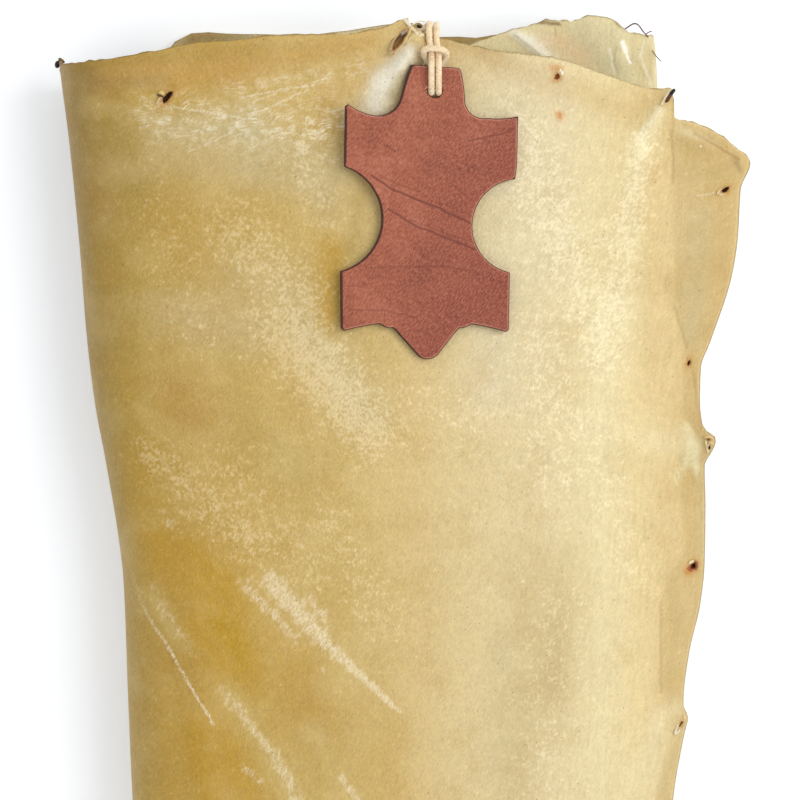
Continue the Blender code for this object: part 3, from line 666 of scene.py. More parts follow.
WASHES = [  # shade, from across, along, to across, along, half-width from, to, strength
    ("umber", -141, 275, -120, 269, 8.2, 6.6, 0.65), ("honey", -120, 275, -70, 277, 5.3, 6.1, 0.75),
    ("honey", -70, 277, -14, 290, 6.1, 4.1, 0.55), ("straw", -132, 264, -105, 259, 3.7, 3.7, 0.55),
    ("olive", -120, 252, -109, 229, 9, 9.8, 0.55), ("bone", -100, 254, -64, 254, 7.4, 9, 0.7),
    ("bone", -64, 254, -25, 237, 8.2, 6.6, 0.45), ("ochre", -131, 237, -125, 216, 4.1, 6.6, 0.55),
    ("slate", -130, 208, -128, 185, 2, 2.5, 0.5), ("slate", -123, 167, -116, 126, 5.3, 4.9, 0.6),
    ("amber", -127, 161, -125, 139, 1.6, 1.6, 0.7), ("amber", -118, 105, -109, 89, 4.9, 5.3, 0.7),
    ("ochre", -94, 146, -88, 134, 9, 8.2, 0.4), ("amber", -88, 83, -71, 61, 4.9, 5.7, 0.75),
    ("saffron", -73, 56, -65, 39, 1.6, 2.9, 0.85), ("amber", -90, 17, -84, -11, 5.3, 7.4, 0.75),
    ("ochre", -108, 44, -105, -17, 2.5, 2.5, 0.45), ("slate", -104, 24, -99, -17, 3.3, 4.5, 0.5),
    ("ochre", -43, 24, -31, -5, 9, 10.7, 0.35), ("straw", -68, 130, -43, 114, 12.3, 10.7, 0.25),
    ("bone", -68, 192, -31, 184, 13.9, 10.7, 0.35), ("bone", -39, 171, -16, 138, 10.7, 10.7, 0.5),
    # The amber and olive rows on this line, and the first row of the next, lie just left of the tag: painted
    # shadow of the tag
    ("amber", -28, 202, -30, 173, 4.9, 4.9, 0.6), ("olive", -31, 261, -31, 218, 4.1, 4.9, 0.45),
    ("olive", -18, 227, -22, 204, 3.7, 3.3, 0.45), ("ochre", 31, 285, 62, 269, 5.7, 6.6, 0.35),
    ("ochre", 16, 289, 39, 286, 3.3, 3.3, 0.35), ("chalk", 2.4, 284.2, -8.2, 273.2, 3.2, 5, 0.8),
    # The ridge row is painted shade: the ridge's side next to the tag's neck, partly in the tag's shadow
    ("chalk", -8.2, 273.2, -12, 263, 5, 6, 0.75), ("ridge", -1.6, 276, -5.6, 267, 1.4, 2.2, 0.6),
    ("honey", -14, 281, -31, 264, 4.9, 5.7, 0.45), ("cream", 27, 261, 55, 253, 8.2, 10.7, 0.35),
    ("cream", 41, 229, 80, 184, 13.9, 16.4, 0.45), ("tan", 72, 269, 98, 258, 7.4, 6.6, 0.6),
    ("cream", 105, 262, 97, 248, 2, 4.1, 0.95), ("cream", 97, 248, 89, 184, 4.5, 8.2, 0.6),
    ("cream", 86, 171, 79, 130, 8.2, 9.8, 0.4), ("apricot", 101, 237, 101, 143, 3.7, 4.9, 0.4),
    ("apricot", 113, 249, 126, 237, 4.9, 5.7, 0.3), ("tan", 117, 245, 135, 229, 6.6, 6.6, 0.75),
    ("apricot", 137, 230, 136, 196, 1.6, 2, 0.75), ("bone", 120, 218, 118, 169, 4.9, 4.5, 0.55),
    ("tan", 132, 218, 123, 171, 3.3, 2.9, 0.45), ("cream", 80, 130, 84, 77, 10.7, 10.7, 0.3),
    ("cream", 100, 126, 119, 122, 7, 3.4, 0.45), ("milk", 112, 110, 120.5, 124, 1.2, 2.2, 0.8),
    ("tan", 117, 163, 118, 130, 3.7, 2.9, 0.5), ("tan", 117, 110, 118, 77, 3.3, 3.3, 0.6),
    ("bone", 122, 116, 122, 77, 1, 1, 0.7), ("tan", 110, 65, 110, 20, 4.1, 3.7, 0.6),
    ("tan", 108, -2, 106, -21, 2.9, 3.7, 0.55), ("cream", 111, 17, 113, 13, 2.5, 2, 0.6),
    ("cream", 105, 11, 96, -21, 4.9, 9, 0.7), ("cream", 84, 61, 80, -17, 8.2, 10.7, 0.3),
    ("straw", 47, 77, 59, 20, 10.7, 12.3, 0.25), ("ochre", 64, 61, 62, 20, 4.9, 5.7, 0.2),
    ("bone", 39, 44, 39, -5, 8.2, 8.2, 0.25), ("gold", -78, 64, -66, -24, 15, 17, 0.75),
    ("bronze", -99, 82, -90, -24, 10, 13, 0.6), ("gold", -46, 34, -30, -24, 12, 18, 0.38),
    ("gold", -8, 8, -8, -30, 12, 16, 0.2), ("gold", -86, 50, -64, 34, 6, 7, 0.55),
    ("gold", -84, 12, -80, -20, 6, 8, 0.6), ("sand", -96, 26, -92, -24, 5, 6, 0.2),
    ("sand", -70, 20, -44, -22, 6, 9, 0.55), ("sand", -38, 6, -24, -22, 6, 9, 0.45),
    ("gold", -118, 150, -104, 70, 9, 12, 0.3), ("gold", -100, 84, -76, 60, 10, 12, 0.45),
    ("gold", -132, 215, -124, 120, 7, 8, 0.35), ("gold", -122, 266, -92, 266, 9, 9, 0.3),
    ("bone", -100, 240, -60, 238, 9, 10, 0.4), ("bone", -60, 240, -34, 230, 10, 9, 0.6),
    # The first gold row here lies just left of the tag: painted shadow of the tag
    ("gold", -31, 206, -31, 178, 6, 7, 0.55), ("bone", -98, 178, -66, 170, 11, 12, 0.45),
    ("gold", -100, 24, -97, -24, 8, 8, 0.42), ("gold", -80, 52, -66, 40, 6, 6, 0.4),
    ("sand", -103, 62, -92, 44, 4.6, 4.6, 0.45), ("straw", 66, 78, 62, 30, 9, 9, 0.25),
    ("straw", 48, 22, 45, -22, 10, 10, 0.3), ("tan", 84, 198, 106, 188, 12, 9, 0.3),
    ("pearl", 44, 262, 36, 150, 17, 14, 0.6), ("pearl", 64, 262, 58, 200, 9, 9, 0.35),
    ("bronze", -120, 281, -58, 285, 4.6, 4.6, 0.35), ("rust", 63.3, 259.6, 63.2, 258.4, 1.5, 1.3, 0.95),
    ("rust", 60.2, 278.4, 63, 278.6, 1.6, 1.4, 0.55), ("rust", 116.4, 71.6, 118.2, 72.6, 1.8, 1.6, 0.85),
    ("milk", 116.4, 131, 118.4, 123, 2, 3, 1), ("milk", 118.6, 122, 120.6, 113.5, 3, 1.6, 1),
    ("bronze", 113, 250, 131, 239, 5, 6, 0.3), ("umber", -127, 273, -100, 273, 4, 4, 0.35),
    ("saffron", -79, 54, -67, 37, 1.8, 2.8, 0.6), ("amber", -116, 124, -109, 110, 3, 4, 0.4),
    ("amber", -89, 24, -88, -12, 4.5, 5, 0.35), ("bone", 125, 220, 121, 176, 4, 3.4, 0.3),
    ("bark", 136.4, 241.2, 138.6, 238, 1.6, 1.2, 0.55), ("cream", 113, 253.5, 128, 249, 1.8, 1.6, 0.6),
]
INNER_WASHES = [  # the same, on the layer inside, where it shows
    ("chalk", 43, 295.5, 61.5, 282, 1.6, 2.4, 0.75), ("chalk", 50, 292, 58, 290, 2, 3, 0.4),
    ("peach", 63.6, 292.8, 73.8, 286, 3.6, 4, 0.34), ("slate", 74, 290, 84, 280, 4, 5, 0.25),
    ("cream", 76, 293, 86, 286, 2.5, 3, 0.35), ("olive", 97.5, 292, 103, 274, 3.4, 3.4, 0.42),
    ("ash", 74, 294, 84, 280, 6, 7, 0.7), ("peach", 58, 291.5, 73.8, 284, 4, 4.6, 0.34),
    ("olive", 14, 290, 40, 283, 2, 3, 0.4), ("umber", 99, 292, 101, 272, 3.2, 3.6, 0.3),
    ("ash", 84, 291, 93, 276, 5, 6, 0.4), ("bark", 52, 298.6, 64, 297.8, 0.7, 0.8, 0.9),
    ("bark", 87, 298, 92.5, 295.4, 0.7, 0.7, 0.9),
]
REAR_LIGHT_AND_SHADOW = [  # and on the layer at the back, where it looks over the front's end: painted light over it, and a painted shadow line under the front's edge
    ("milk", -96, 288, -10, 297, 4, 4, 0.85), ("bark", -88, 287.5, -34, 290.5, 0.9, 0.8, 0.6),
]
GRAIN = [  # kind, from across, along, to across, along, half-width from, to, strength
    ("speckle", -68, 212, -43, 184, 16.4, 18.4, 0.55), ("speckle", -47, 171, -14, 130, 18.4, 14.3, 0.8),
    ("speckle", -104, 225, -84, 171, 12.3, 16.4, 0.3), ("speckle", 47, 249, 80, 171, 18.4, 16.4, 0.55),
    ("speckle", 55, 171, 64, 114, 16.4, 16.4, 0.45), ("speckle", -43, 245, -31, 212, 10.2, 8.2, 0.45),
    ("speckle", -72, 110, -43, 77, 18.4, 18.4, 0.4), ("speckle", -10, 147, 27, 134, 12.3, 12.3, 0.35),
    ("speckle", 64, 61, 55, -17, 12.3, 16.4, 0.35), ("speckle", -31, 93, -10, 52, 12.3, 12.3, 0.4),
    ("scuff", -54, 68, -34, 45, 5.6, 4.6, 1), ("scuff", -40, 62, -33, 52, 6, 5, 0.55),
    ("scuff", -33, 44, -2, 15, 3.4, 1.1, 1), ("scuff", -65, 67, -44, 44, 3.4, 1.8, 0.8),
    ("scuff", -74, 24, -55, -1, 3.6, 4, 0.62), ("scuff", -55, -1, -43, -22, 3.6, 4.4, 0.7),
    ("scuff", -66, -8, -60, -13, 2.8, 2.8, 0.6), ("scuff", -34, 32, -32, 28, 1.6, 1.6, 0.6),
    ("scuff", -26, -11, -20, -21, 1.4, 1.8, 0.85), ("scuff", -99, 97, -95, 91, 3.2, 3.2, 0.55),
    ("scuff", -104, 104, -66, 72, 6, 8, 0.26), ("scuff", -104, 66, -88, 40, 3.6, 2.4, 0.5),
    ("speckle", 98, 248, 80, 160, 8, 12, 0.65), ("speckle", -106, 122, -60, 84, 9, 14, 0.55),
    ("speckle", 74, 132, 96, 70, 12, 10, 0.35), ("scuff", -80, 262, -34, 249, 6.6, 4.9, 0.24),
    ("fibre", -102, 258, -31, 254, 9, 12.3, 1), ("fibre", -72, 269, -18, 278, 4.1, 5.7, 0.6),
    ("fibre", -84, 261, -64, 249, 4.1, 5.7, 0.8),
]
SCRATCHES = [  # from across, along, to across, along, half-width, strength
    (-111.8, 70.6, -107.6, 57.5, 0.8, 0.35), (-107.6, 57.5, -95.9, 39.9, 0.75, 0.5),
    (-95.9, 39.9, -87.8, 25.5, 0.65, 0.6), (-87.8, 25.5, -78.3, 9.9, 0.6, 0.65),
    (-98, 262.6, -62, 257, 0.4, 0.4), (-67.6, 266, -35.8, 271.6, 0.4, 0.5),
    (-69.2, 255.4, -39, 269.6, 0.4, 0.45), (-69.3, 252.4, -88, 244, 0.4, 0.3),
    (78.3, 208.2, 84.9, 209.8, 0.5, 0.4), (-62, 264.4, -30.7, 274.5, 0.4, 0.35),
    (-58.6, 252.4, -40.6, 250.8, 0.4, 0.3), (104.5, 261.5, 96.3, 250.8, 0.9, 0.5),
    (120.7, 226.9, 129.5, 228.4, 0.45, 0.35), (121.8, 247.1, 121.8, 246.9, 0.45, 0.9),
]
FOLD_SHADE_LINES = [  # the same: painted shade along fine folds
    (119.5, 252.5, 131, 246.2, 0.7, 0.8), (131, 246.2, 138, 242.4, 0.7, 0.9),
    (109.6, 253.5, 110.6, 232, 0.6, 0.5), (111.2, 181, 116.6, 164.5, 0.8, 0.5),
    (105.6, 59, 105.8, 22, 0.8, 0.5), (119.6, 154, 122.4, 131, 0.8, 0.5),
]
INNER_HIGHLIGHTS = [  # painted highlights: light streaks on the layer inside
    (89.9, 290.4, 91.2, 286.4, 1.15, 0.95), (91.2, 286.4, 93.4, 282, 0.65, 0.95),
    (99.1, 291.2, 97.4, 284.6, 0.6, 0.45), (97.4, 284.6, 102, 273, 0.7, 0.45),
    (84.6, 287.4, 86.4, 277, 0.6, 0.25), (60.4, 282.6, 74, 279, 0.45, 0.3),
]
INNER_FOLD_SHADE_LINES = [  # and painted shade along fine folds
    (94.8, 292.4, 94.6, 283.6, 1.5, 0.45), (102, 289.4, 102.4, 277, 1.3, 0.6),
    (87.3, 288.2, 86, 282.2, 0.55, 0.55), (86, 282.2, 88, 278, 0.55, 0.5),
    (95.6, 283, 100.4, 275, 0.9, 0.55), (61.9, 296.4, 62.2, 293.2, 0.5, 0.45),
    (45, 293.4, 57, 283.6, 0.55, 0.4),
]
MARGIN = [  # along, across: where the painted shade on the hide's margin, one layer thick, starts
    (-80, 92), (-23, 102.8), (-17, 104), (-10.7, 106.2), (-3.2, 108.9), (2.5, 112.3), (13.7, 110.6),
    (18.3, 107.7), (26.6, 106.1), (34.9, 105.2), (43, 105.7), (59.7, 106.5), (70, 108.2), (80.4, 116),
    (88.7, 114.8), (99.5, 113.5), (109.4, 112.3), (130, 113.8), (163, 116.4), (186.5, 111.4), (246, 109),
    (262, 109),
]


def packed(gaps, torn_at):
    """Places from the first of a table to its last, as far apart as the table's second column says, or
    nearer where the sheet is torn."""
    places, gap = np.array(gaps, float).T
    fine = np.linspace(places[0], places[-1], 8000)
    away = np.abs(fine[:, None] - np.array(torn_at)[None, :]).min(1)
    gap = np.minimum(np.interp(fine, places, gap), TEAR_GAP[0] + TEAR_GAP[1] * away)
    count = np.concatenate([[0], np.cumsum(np.diff(fine) / gap[1:])])
    return np.interp(np.linspace(0, count[-1], round(count[-1]) + 1), count, fine)


def run_out(station, reach):
    """Where along the roll a place of the sheet is, from how far it is from the tail's end. The rows share
    out the sheet between its tail and its plain end, and the last of them bend to the scallops."""
    tail, plain, tag_end = (through(end, 1, station) for end in (TAIL_END, BODY_END, TAG_END))
    to_scallops = smooth_step(SCALLOPS_FROM, SPREAD, reach)
    return tail + (plain - tail) * reach / SPREAD + (tag_end - plain) * to_scallops


def station_at(across, along):
    """The station of a place on the layer on top."""
    x, _, stations = over_the_top(along)
    return float(np.interp(across, x, stations))


def oval(hole, across, along):
    """How far out a place is from a torn hole's middle, in the hole's own sizes: 1 on its ragged rim, which
    goes as 1 + 0.13 sin(3a) + 0.09 sin(5a). Also the direction a that it lies in."""
    length, width, turn = hole
    c, s = math.cos(math.radians(turn)), math.sin(math.radians(turn))
    far = np.hypot((across * c + along * s) / (length / 2), (along * c - across * s) / (width / 2))
    angle = np.arctan2(along, across)
    return far / (1 + 0.13 * np.sin(3 * angle + length) + 0.09 * np.sin(5 * angle + turn)), angle


def open_hole(p, q, middle, cells, rim):
    """Draws a grid round a hole, and says which cells are in it. The block of cells round the corner nearest
    to the hole's middle goes; the ring of corners round it moves to the rim, and each further ring moves
    less. rim gives how far out a place is, 1 on the rim."""
    i, j = np.unravel_index(np.argmin((p - middle[0]) ** 2 + (q - middle[1]) ** 2), p.shape)
    u, v = np.arange(p.shape[0])[:, None] - i, np.arange(p.shape[1])[None, :] - j
    ring = np.maximum(np.maximum(abs(u), abs(v)) / cells, 1.0) + 0 * p
    off_p, off_q = (p - p[i, j]) / ring, (q - q[i, j]) / ring
    far = rim(off_p, off_q)
    far = np.where(far < 1e-6, 1, far)
    sides = (i, j, p.shape[0] - 1 - i, p.shape[1] - 1 - j)
    fall = smooth_step(0, 1, 1 - (ring - 1) / (min(HOLE_REACH, min(sides) / cells) - 1))
    p_new = p + fall * (middle[0] + off_p / far - p[i, j] - off_p)
    q_new = q + fall * (middle[1] + off_q / far - q[i, j] - off_q)
    inside = (abs(u + 0.5) < cells) & (abs(v + 0.5) < cells)
    return p_new, q_new, inside


def plateau(stations, at):
    """0 outside the first and last of four stations, 1 between the middle two, and smooth between."""
    first, full, waning, last = stations
    return smooth_step(first, full, at) * smooth_step(last, waning, at)


def crease_fading(share):
    """A crease rises over its first fifth, and fades over its second half."""
    return smooth_step(0, 1, np.clip(share / 0.2, 0, 1) * np.clip((1 - share) / 0.5, 0, 1))


def nearness(row, across, along):
    """exp(-q²), where q is the distance from a line over the line's half-width there."""
    x0, y0, x1, y1, width0, width1 = row
    length2 = max((x1 - x0) ** 2 + (y1 - y0) ** 2, 1e-6)
    share = np.clip(((across - x0) * (x1 - x0) + (along - y0) * (y1 - y0)) / length2, 0, 1)
    away = np.hypot(across - x0 - share * (x1 - x0), along - y0 - share * (y1 - y0))
    return np.exp(-((away / (width0 + share * (width1 - width0))) ** 2))


def laid_over(colours, shade, amount):
    """Colours with a shade laid over them, by an amount from 0 to 1 at each place."""
    return colours * (1 - amount[..., None]) + dye_all(shade) * amount[..., None]


def paint(piece, name, colours):
    """Colours, or any three numbers, on a piece's corners, under a name that its material reads."""
    layer = piece.data.attributes.new(name, "FLOAT_COLOR", "POINT")
    layer.data.foreach_set("color", np.append(colours, np.ones((len(colours), 1)), 1).ravel())


def thicken(piece, thickness):
    """Gives a sheet its thickness, half of it on each side."""
    thick = piece.modifiers.new("thickness", "SOLIDIFY")
    thick.thickness = thickness * MM
    thick.offset = 0
    return thick


def lines_on(at, lines, wander, dust):
    """Thin lines drawn on a surface: 1 in each, from its distance to the place, which a noise bends and
    frays."""
    drift = at.noise(0.22, 3, out=1).vector("SUBTRACT", (0.5, 0.5, 0.5)).scaled(wander)
    at = at.vector("ADD", drift).vector("MULTIPLY", (1, 1, 0))
    drawn = None
    for x0, y0, x1, y1, half, strength in lines:
        run = (x1 - x0, y1 - y0, 0)
        share = at.vector("SUBTRACT", (x0, y0, 0)).vector("DOT_PRODUCT", run, 1)
        share = (share * (1 / max(run[0] ** 2 + run[1] ** 2, 0.01))).least(1.0).most(0.0)
        nearest = at.node("ShaderNodeVectorMath", {"operation": "SCALE"}, {0: run, "Scale": share})
        away = at.vector("DISTANCE", nearest.vector("ADD", (x0, y0, 0)), 1)
        line = (away + (dust - 0.5) * half).rise(half * 1.5, half * 0.4) * strength
        drawn = line if drawn is None else drawn.most(line)
    return drawn


# The grid: its columns are stations, and its rows run along the roll. It is drawn round each torn hole.
tears = [(station_at(x0, y0), y0) for x0, y0, *_ in [*PEG_HOLES.values(), *PEG_STAINS]]
reaches = np.linspace(0, SPREAD, 1500)
torn_at = [float(np.interp(y0, run_out(s + 0 * reaches, reaches), reaches)) for s, y0 in tears]
columns = packed(COLUMN_GAPS, [s for s, _ in tears])
rows = packed(ROW_GAPS, torn_at)
along = run_out(columns[:, None] + 0 * rows, rows[None, :])
tail, tag_end = along[:, :1].copy(), along[:, -1:].copy()
station = columns[:, None] + 0 * along
chance = np.random.default_rng(7)
ragged = np.interp(columns, np.linspace(0, 700, 420), chance.normal(0, RAGGED, 420))
along[:, -1] += ragged
along[:, 0] -= ragged
gone = np.zeros((len(columns) - 1, len(rows) - 1), bool)
for (_, _, *hole, cells, _, _), middle in zip(PEG_HOLES.values(), tears):
    if cells:
        station, along, inside = open_hole(station, along, middle, cells, lambda p, q: oval(hole, -p, q)[0])
        gone |= inside[:-1, :-1]

# Its shape, and which layer each place is on: the front, the back, or the one inside.
x, y, z = (p.reshape(station.shape) for p in skin_points(station.ravel(), along.reshape(-1, 1)))
on_top = smooth_step(LEFT_FOLD_STATIONS[1], LEFT_FOLD_STATIONS[0] - TOP_FADE, station)
front_side = smooth_step(FRONT_ENDS[1], FRONT_ENDS[0], station)
back_side = plateau(BACK_SIDE, station)
inner = smooth_step(*INNER_SIDE, station)
z = z + on_top * bell_lines(CREASES, crease_fading, x, y)
z = z + inner * bell_lines(INNER_CREASES, crease_fading, x, y)
z = z + on_top * SWELL * np.sin(x / 13 + 1.3 * np.sin(y / 41)) * np.sin(y / 17 + 0.8 * np.sin(x / 29))
z = z + REAR_RISE * plateau(REAR, station) * smooth_step(-REAR_FROM, 0, along - tag_end)

# What the pegs did to it
burn, lip = np.zeros_like(z), np.zeros_like(z)
for (_, _, *hole, _, browned, _), middle in zip(PEG_HOLES.values(), tears):
    far, angle = oval(hole, middle[0] - station, along - middle[1])
    off = (far - 1) * hole[1] / 2
    burn = np.maximum(burn, browned * np.exp(-np.clip(off, 0, None) / CHAR_REACH))
    lip = np.maximum(lip, np.exp(-((off - 0.2) / 1.1) ** 2) * (0.65 + 0.35 * np.sin(angle + 1)))
for x0, y0, radius, browned in PEG_STAINS:
    burn = np.maximum(burn, browned * nearness((x0, y0, x0, y0, radius, radius), x, y))
z = z + LIP_RISE * lip * on_top

# Its colours, with painted shade and light among them, and what its grain is like
edge = np.minimum(np.minimum(station, columns[-1] - station), np.minimum(tag_end - along, along - tail))
edge = np.clip(edge, 0, EDGE_REACH)
margin = np.where(on_top > 0.5, x - np.interp(y, *np.array(MARGIN, float).T), NO_MARGIN)
tone_at, *tones = np.array(TONE_AND_SHADE_ACROSS, float).T
face = dye_all(np.stack([np.interp(x, tone_at, channel) for channel in tones], -1))
face = laid_over(face, BACK_TONE, smooth_step(*BACK_FROM, station))
face = laid_over(face, INNER_TONE, smooth_step(*INNER_FROM, station))
for washes, side in ((WASHES, front_side), (INNER_WASHES, inner), (REAR_LIGHT_AND_SHADOW, back_side)):
    for name, *row, strength in washes:
        face = laid_over(face, SHADES[name], strength * side * nearness(row, x, y))
face = face * np.array(LIGHTNESS)
grain = {kind: np.zeros_like(z) for kind in ("speckle", "scuff", "fibre")}
for kind, *row, strength in GRAIN:
    grain[kind] = np.maximum(grain[kind], strength * front_side * nearness(row, x, y))

# The material. flat is a place on the unrolled sheet, and over is one as seen from above.
hide, hide_shader, bath = new_material("vellum", 0.5, 0.32, subsurface=0.05)
flat = bath.node("ShaderNodeUVMap", {"uv_map": "flat"}).vector("MULTIPLY", (1 / MM, 1 / MM, 0))
over = bath.place(upright=0)
tone = bath.painted("tone")
speckle, scuff, fibre = bath.painted("grain").parts()
scorched, from_edge, past_margin = bath.painted("burn_edge_and_margin_shade").parts()
front, inside, _ = bath.painted("side").parts()

# The grain itself, more upright at the right hand, and slow clouds of two colours
grain_fine = flat.stretched(0.95, 1.9, 0.85).noise(1.0, 3, 0.62)
grain_coarse = flat.stretched(0.95, 4.2, 2.2).noise(1.0, 4, 0.66)
upright = over.stretched(1.45, 9.0, 1.6).noise(1.0, 3, 0.6)
mottle = flat.noise(0.22, 3, 0.6)
clouds = flat.noise(0.045, 3, 0.55)
dust = flat.noise(2.6, 2, 0.6)
grit = flat.noise(0.62, 2, 0.5)
right_hand = over.parts()[0].rise(20, 95)
grains = (grain_fine - 0.5) * 0.54 + (grain_coarse - 0.5) * 0.24
grains = grains + (mottle - 0.5) * 0.26 + (grit - 0.5) * 0.16
grains = grains * (1 - right_hand * 0.25) + (upright - 0.5) * right_hand * 0.32
shaded = tone.scaled(1 + grains)
shaded = shaded.tint(clouds.rise(0.42, 0.75) * 0.18, (228, 204, 146))
shaded = shaded.tint(clouds.rise(0.55, 0.25) * 0.20, (178, 138, 46))

# The margin, which is one layer thick: painted shade over it, as less light comes back through one layer, and
# pale at its very edge
strip = (past_margin + (mottle - 0.5) * 5.0).rise(-1.2, 1.6)
shaded = shaded.tint(strip * 0.24, (170, 146, 88))
shaded = shaded.tint(strip * (from_edge + (mottle - 0.5) * 1.6).rise(1.7, 0.9) * 0.25, (232, 212, 160))

# Pale clumps of grain, the follicles' dots and the chalky scuffs
clumps = (mottle * 0.55 + grit * 0.60 + speckle * 0.34).rise(0.68, 0.86)
bright = tone.scaled(1.30).tint(0.30, (255, 250, 232))
shaded = shaded.tint(clumps * (grain_fine.rise(0.34, 0.60) * 0.44 + 0.16), bright)
spots = flat.cells(0.85)
dots = spots.rise(0.50, 0.22) * (0.45 - spots.twin(1).parts()[0]).rise(0.0, 0.2)
shaded = shaded.tint(dots * 0.16, bright)
chalky = scuff * 1.25 + (grain_coarse - 0.5) * 1.5 + (mottle - 0.5) * 1.6
dusted = chalky.rise(0.36, 1.20) * (grain_fine.rise(0.34, 0.66) * 0.56 + 0.20)
shaded = shaded.tint(dusted, bright.tint(0.45, (246, 238, 218)))

# The net of fibres: thin bands of two stretched noises, wherever each is near its middle value
bent = over.vector("ADD", over.noise(0.05, 2, out=1).scaled(14.0))
threads = (bent.stretched(0.2, 24.0, 1.5).noise(1.0, 2, 0.5) - 0.5).size().rise(0.075, 0.0)
crossing = (bent.stretched(0.55, 20.0, 1.4).noise(1.0, 2, 0.5) - 0.5).size().rise(0.05, 0.0)
net = threads.most(crossing * 0.7) * mottle.rise(0.38, 0.62)
shaded = shaded.tint(net * fibre * 0.60, (246, 238, 214))

# Scratches, painted shade along folds, light streaks on the layer inside as painted highlights, and a few
# dark pits
scratch = lines_on(over, SCRATCHES, 2.2, dust) * front * (dust * 0.5 + grain_fine * 0.5).rise(0.42, 0.56)
shaded = shaded.tint(scratch * 0.9, (250, 242, 218))
shaded = shaded.tint(lines_on(over, FOLD_SHADE_LINES, 1.6, dust) * front * 0.42, (140, 98, 42))
shaded = shaded.tint(lines_on(over, INNER_FOLD_SHADE_LINES, 2.0, dust) * inside * 0.6, (142, 118, 72))
shaded = shaded.tint(lines_on(over, INNER_HIGHLIGHTS, 2.0, dust) * inside * 0.9, (255, 254, 248))
pits = flat.cells(0.33)
pit_chance = pits.twin(1).parts()[0]
shaded = shaded.tint(pits.rise(0.15, 0.04) * pit_chance.rise(0.74, 0.80) * 0.6, (112, 78, 36))

# The brown round the torn holes, and the dark of the cut edge
char = scorched * (0.8 + grain_coarse * 0.4) + (dust - 0.5) * 0.15
shaded = shaded.tint(char.rise(0.10, 0.45) * 0.40, (190, 132, 58))
shaded = shaded.tint(char.rise(0.42, 0.75) * 0.85, (128, 68, 26))
shaded = shaded.tint(char.rise(0.78, 1.0) * 0.9, (60, 30, 18))
shaded = shaded.tint((from_edge + (grain_fine - 0.5) * 0.8).rise(0.8, 0.1) * 0.5, (116, 88, 46))

gloss = 0.55 - grain_fine * 0.10 + dusted * 0.12
bumps = grain_fine * 0.9 + grain_coarse * 0.7 + mottle * 0.9
wear(hide_shader, shaded, gloss, bumps, 0.36)

corner = np.arange(station.size).reshape(station.shape)
used, cells = np.unique(quads(corner)[~gone], return_inverse=True)


def at_corners(*values):
    """Values of the whole grid, at the corners that are in use."""
    return np.stack(values, -1).reshape(-1, len(values))[used]


skin = put_mesh("vellum_sheet", at_corners(x, y, z), cells.reshape(-1, 4), hide)
flat_map = skin.data.uv_layers.new(name="flat")
loops = np.empty(len(skin.data.loops), int)
skin.data.loops.foreach_get("vertex_index", loops)
flat_map.data.foreach_set("uv", (at_corners(columns[-1] - station, along - along.min()) * MM)[loops].ravel())
paint(skin, "tone", face.reshape(-1, 3)[used])
paint(skin, "grain", at_corners(*grain.values()))
paint(skin, "burn_edge_and_margin_shade", at_corners(burn, edge, margin))
paint(skin, "side", at_corners(front_side, inner, 0 * inner))
thicken(skin, SKIN_THICKNESS).use_even_offset = True
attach(skin, "root")
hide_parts("vellum_skin")

# ---- Torn lips, scraps and stray hairs -----------------------------------------------------------
# Where a peg tore through, the hide dried with a curled, browned lip. A few scraps and hairs are still on
# it, all of the same horny stuff. A few dark strips among them are painted shadow in torn slits, and the dish
# in each opened hole is partly darkened as painted shade.
RIND = 0.45  # the lips' thickness
LIP_GRID = (26, 8)  # points along a lip, and across it
DISH_GRID = (20, 6)  # points round a hole's floor, and from its middle out
LIPS = [  # hole, from, to in degrees round it, height, how far out, root shade, tip shade
    ("fold", 80, 170, 1, 0.9, (120, 78, 30), (226, 200, 140)),
    ("fold", 200, 350, 0.7, 0.4, (60, 34, 20), (190, 146, 78)),
    ("cord", -120, 40, 1.7, 0.4, (150, 98, 44), (232, 206, 146)),
    ("cord", 60, 210, 1.6, 0.5, (110, 76, 44), (206, 176, 124)),
    ("crown", -70, 40, 1.3, 0.9, (210, 170, 120), (255, 253, 246)),
    ("crown", 130, 330, 0.9, 0.5, (150, 84, 34), (222, 176, 108)),
    ("corner", 50, 170, 1.2, 0.9, (90, 60, 34), (242, 226, 182)),
    ("shoulder", -100, 80, 1.1, 0.4, (84, 40, 24), (214, 166, 104)),
    ("shoulder", 100, 250, 1.3, 0.7, (104, 56, 30), (238, 214, 160)),
    ("pinhole", -80, 170, 0.9, 0.7, (132, 76, 32), (230, 176, 96)),
    ("pinhole", 170, 280, 0.8, 0.5, (150, 96, 44), (244, 222, 170)),
    ("nub", -80, 180, 1.3, 0.7, (60, 34, 22), (240, 216, 162)),
    ("hip", -60, 50, 1.1, 0.4, (120, 44, 20), (206, 128, 66)),
    ("hip", 50, 130, 1.4, 0.9, (160, 96, 50), (246, 226, 176)),
    ("hip", 140, 300, 0.9, 0.5, (104, 34, 14), (190, 96, 44)),
    ("low", -100, 70, 1, 0.6, (120, 74, 40), (240, 216, 164)),
    ("low", 90, 250, 1.2, 1, (110, 66, 36), (252, 240, 208)),
]
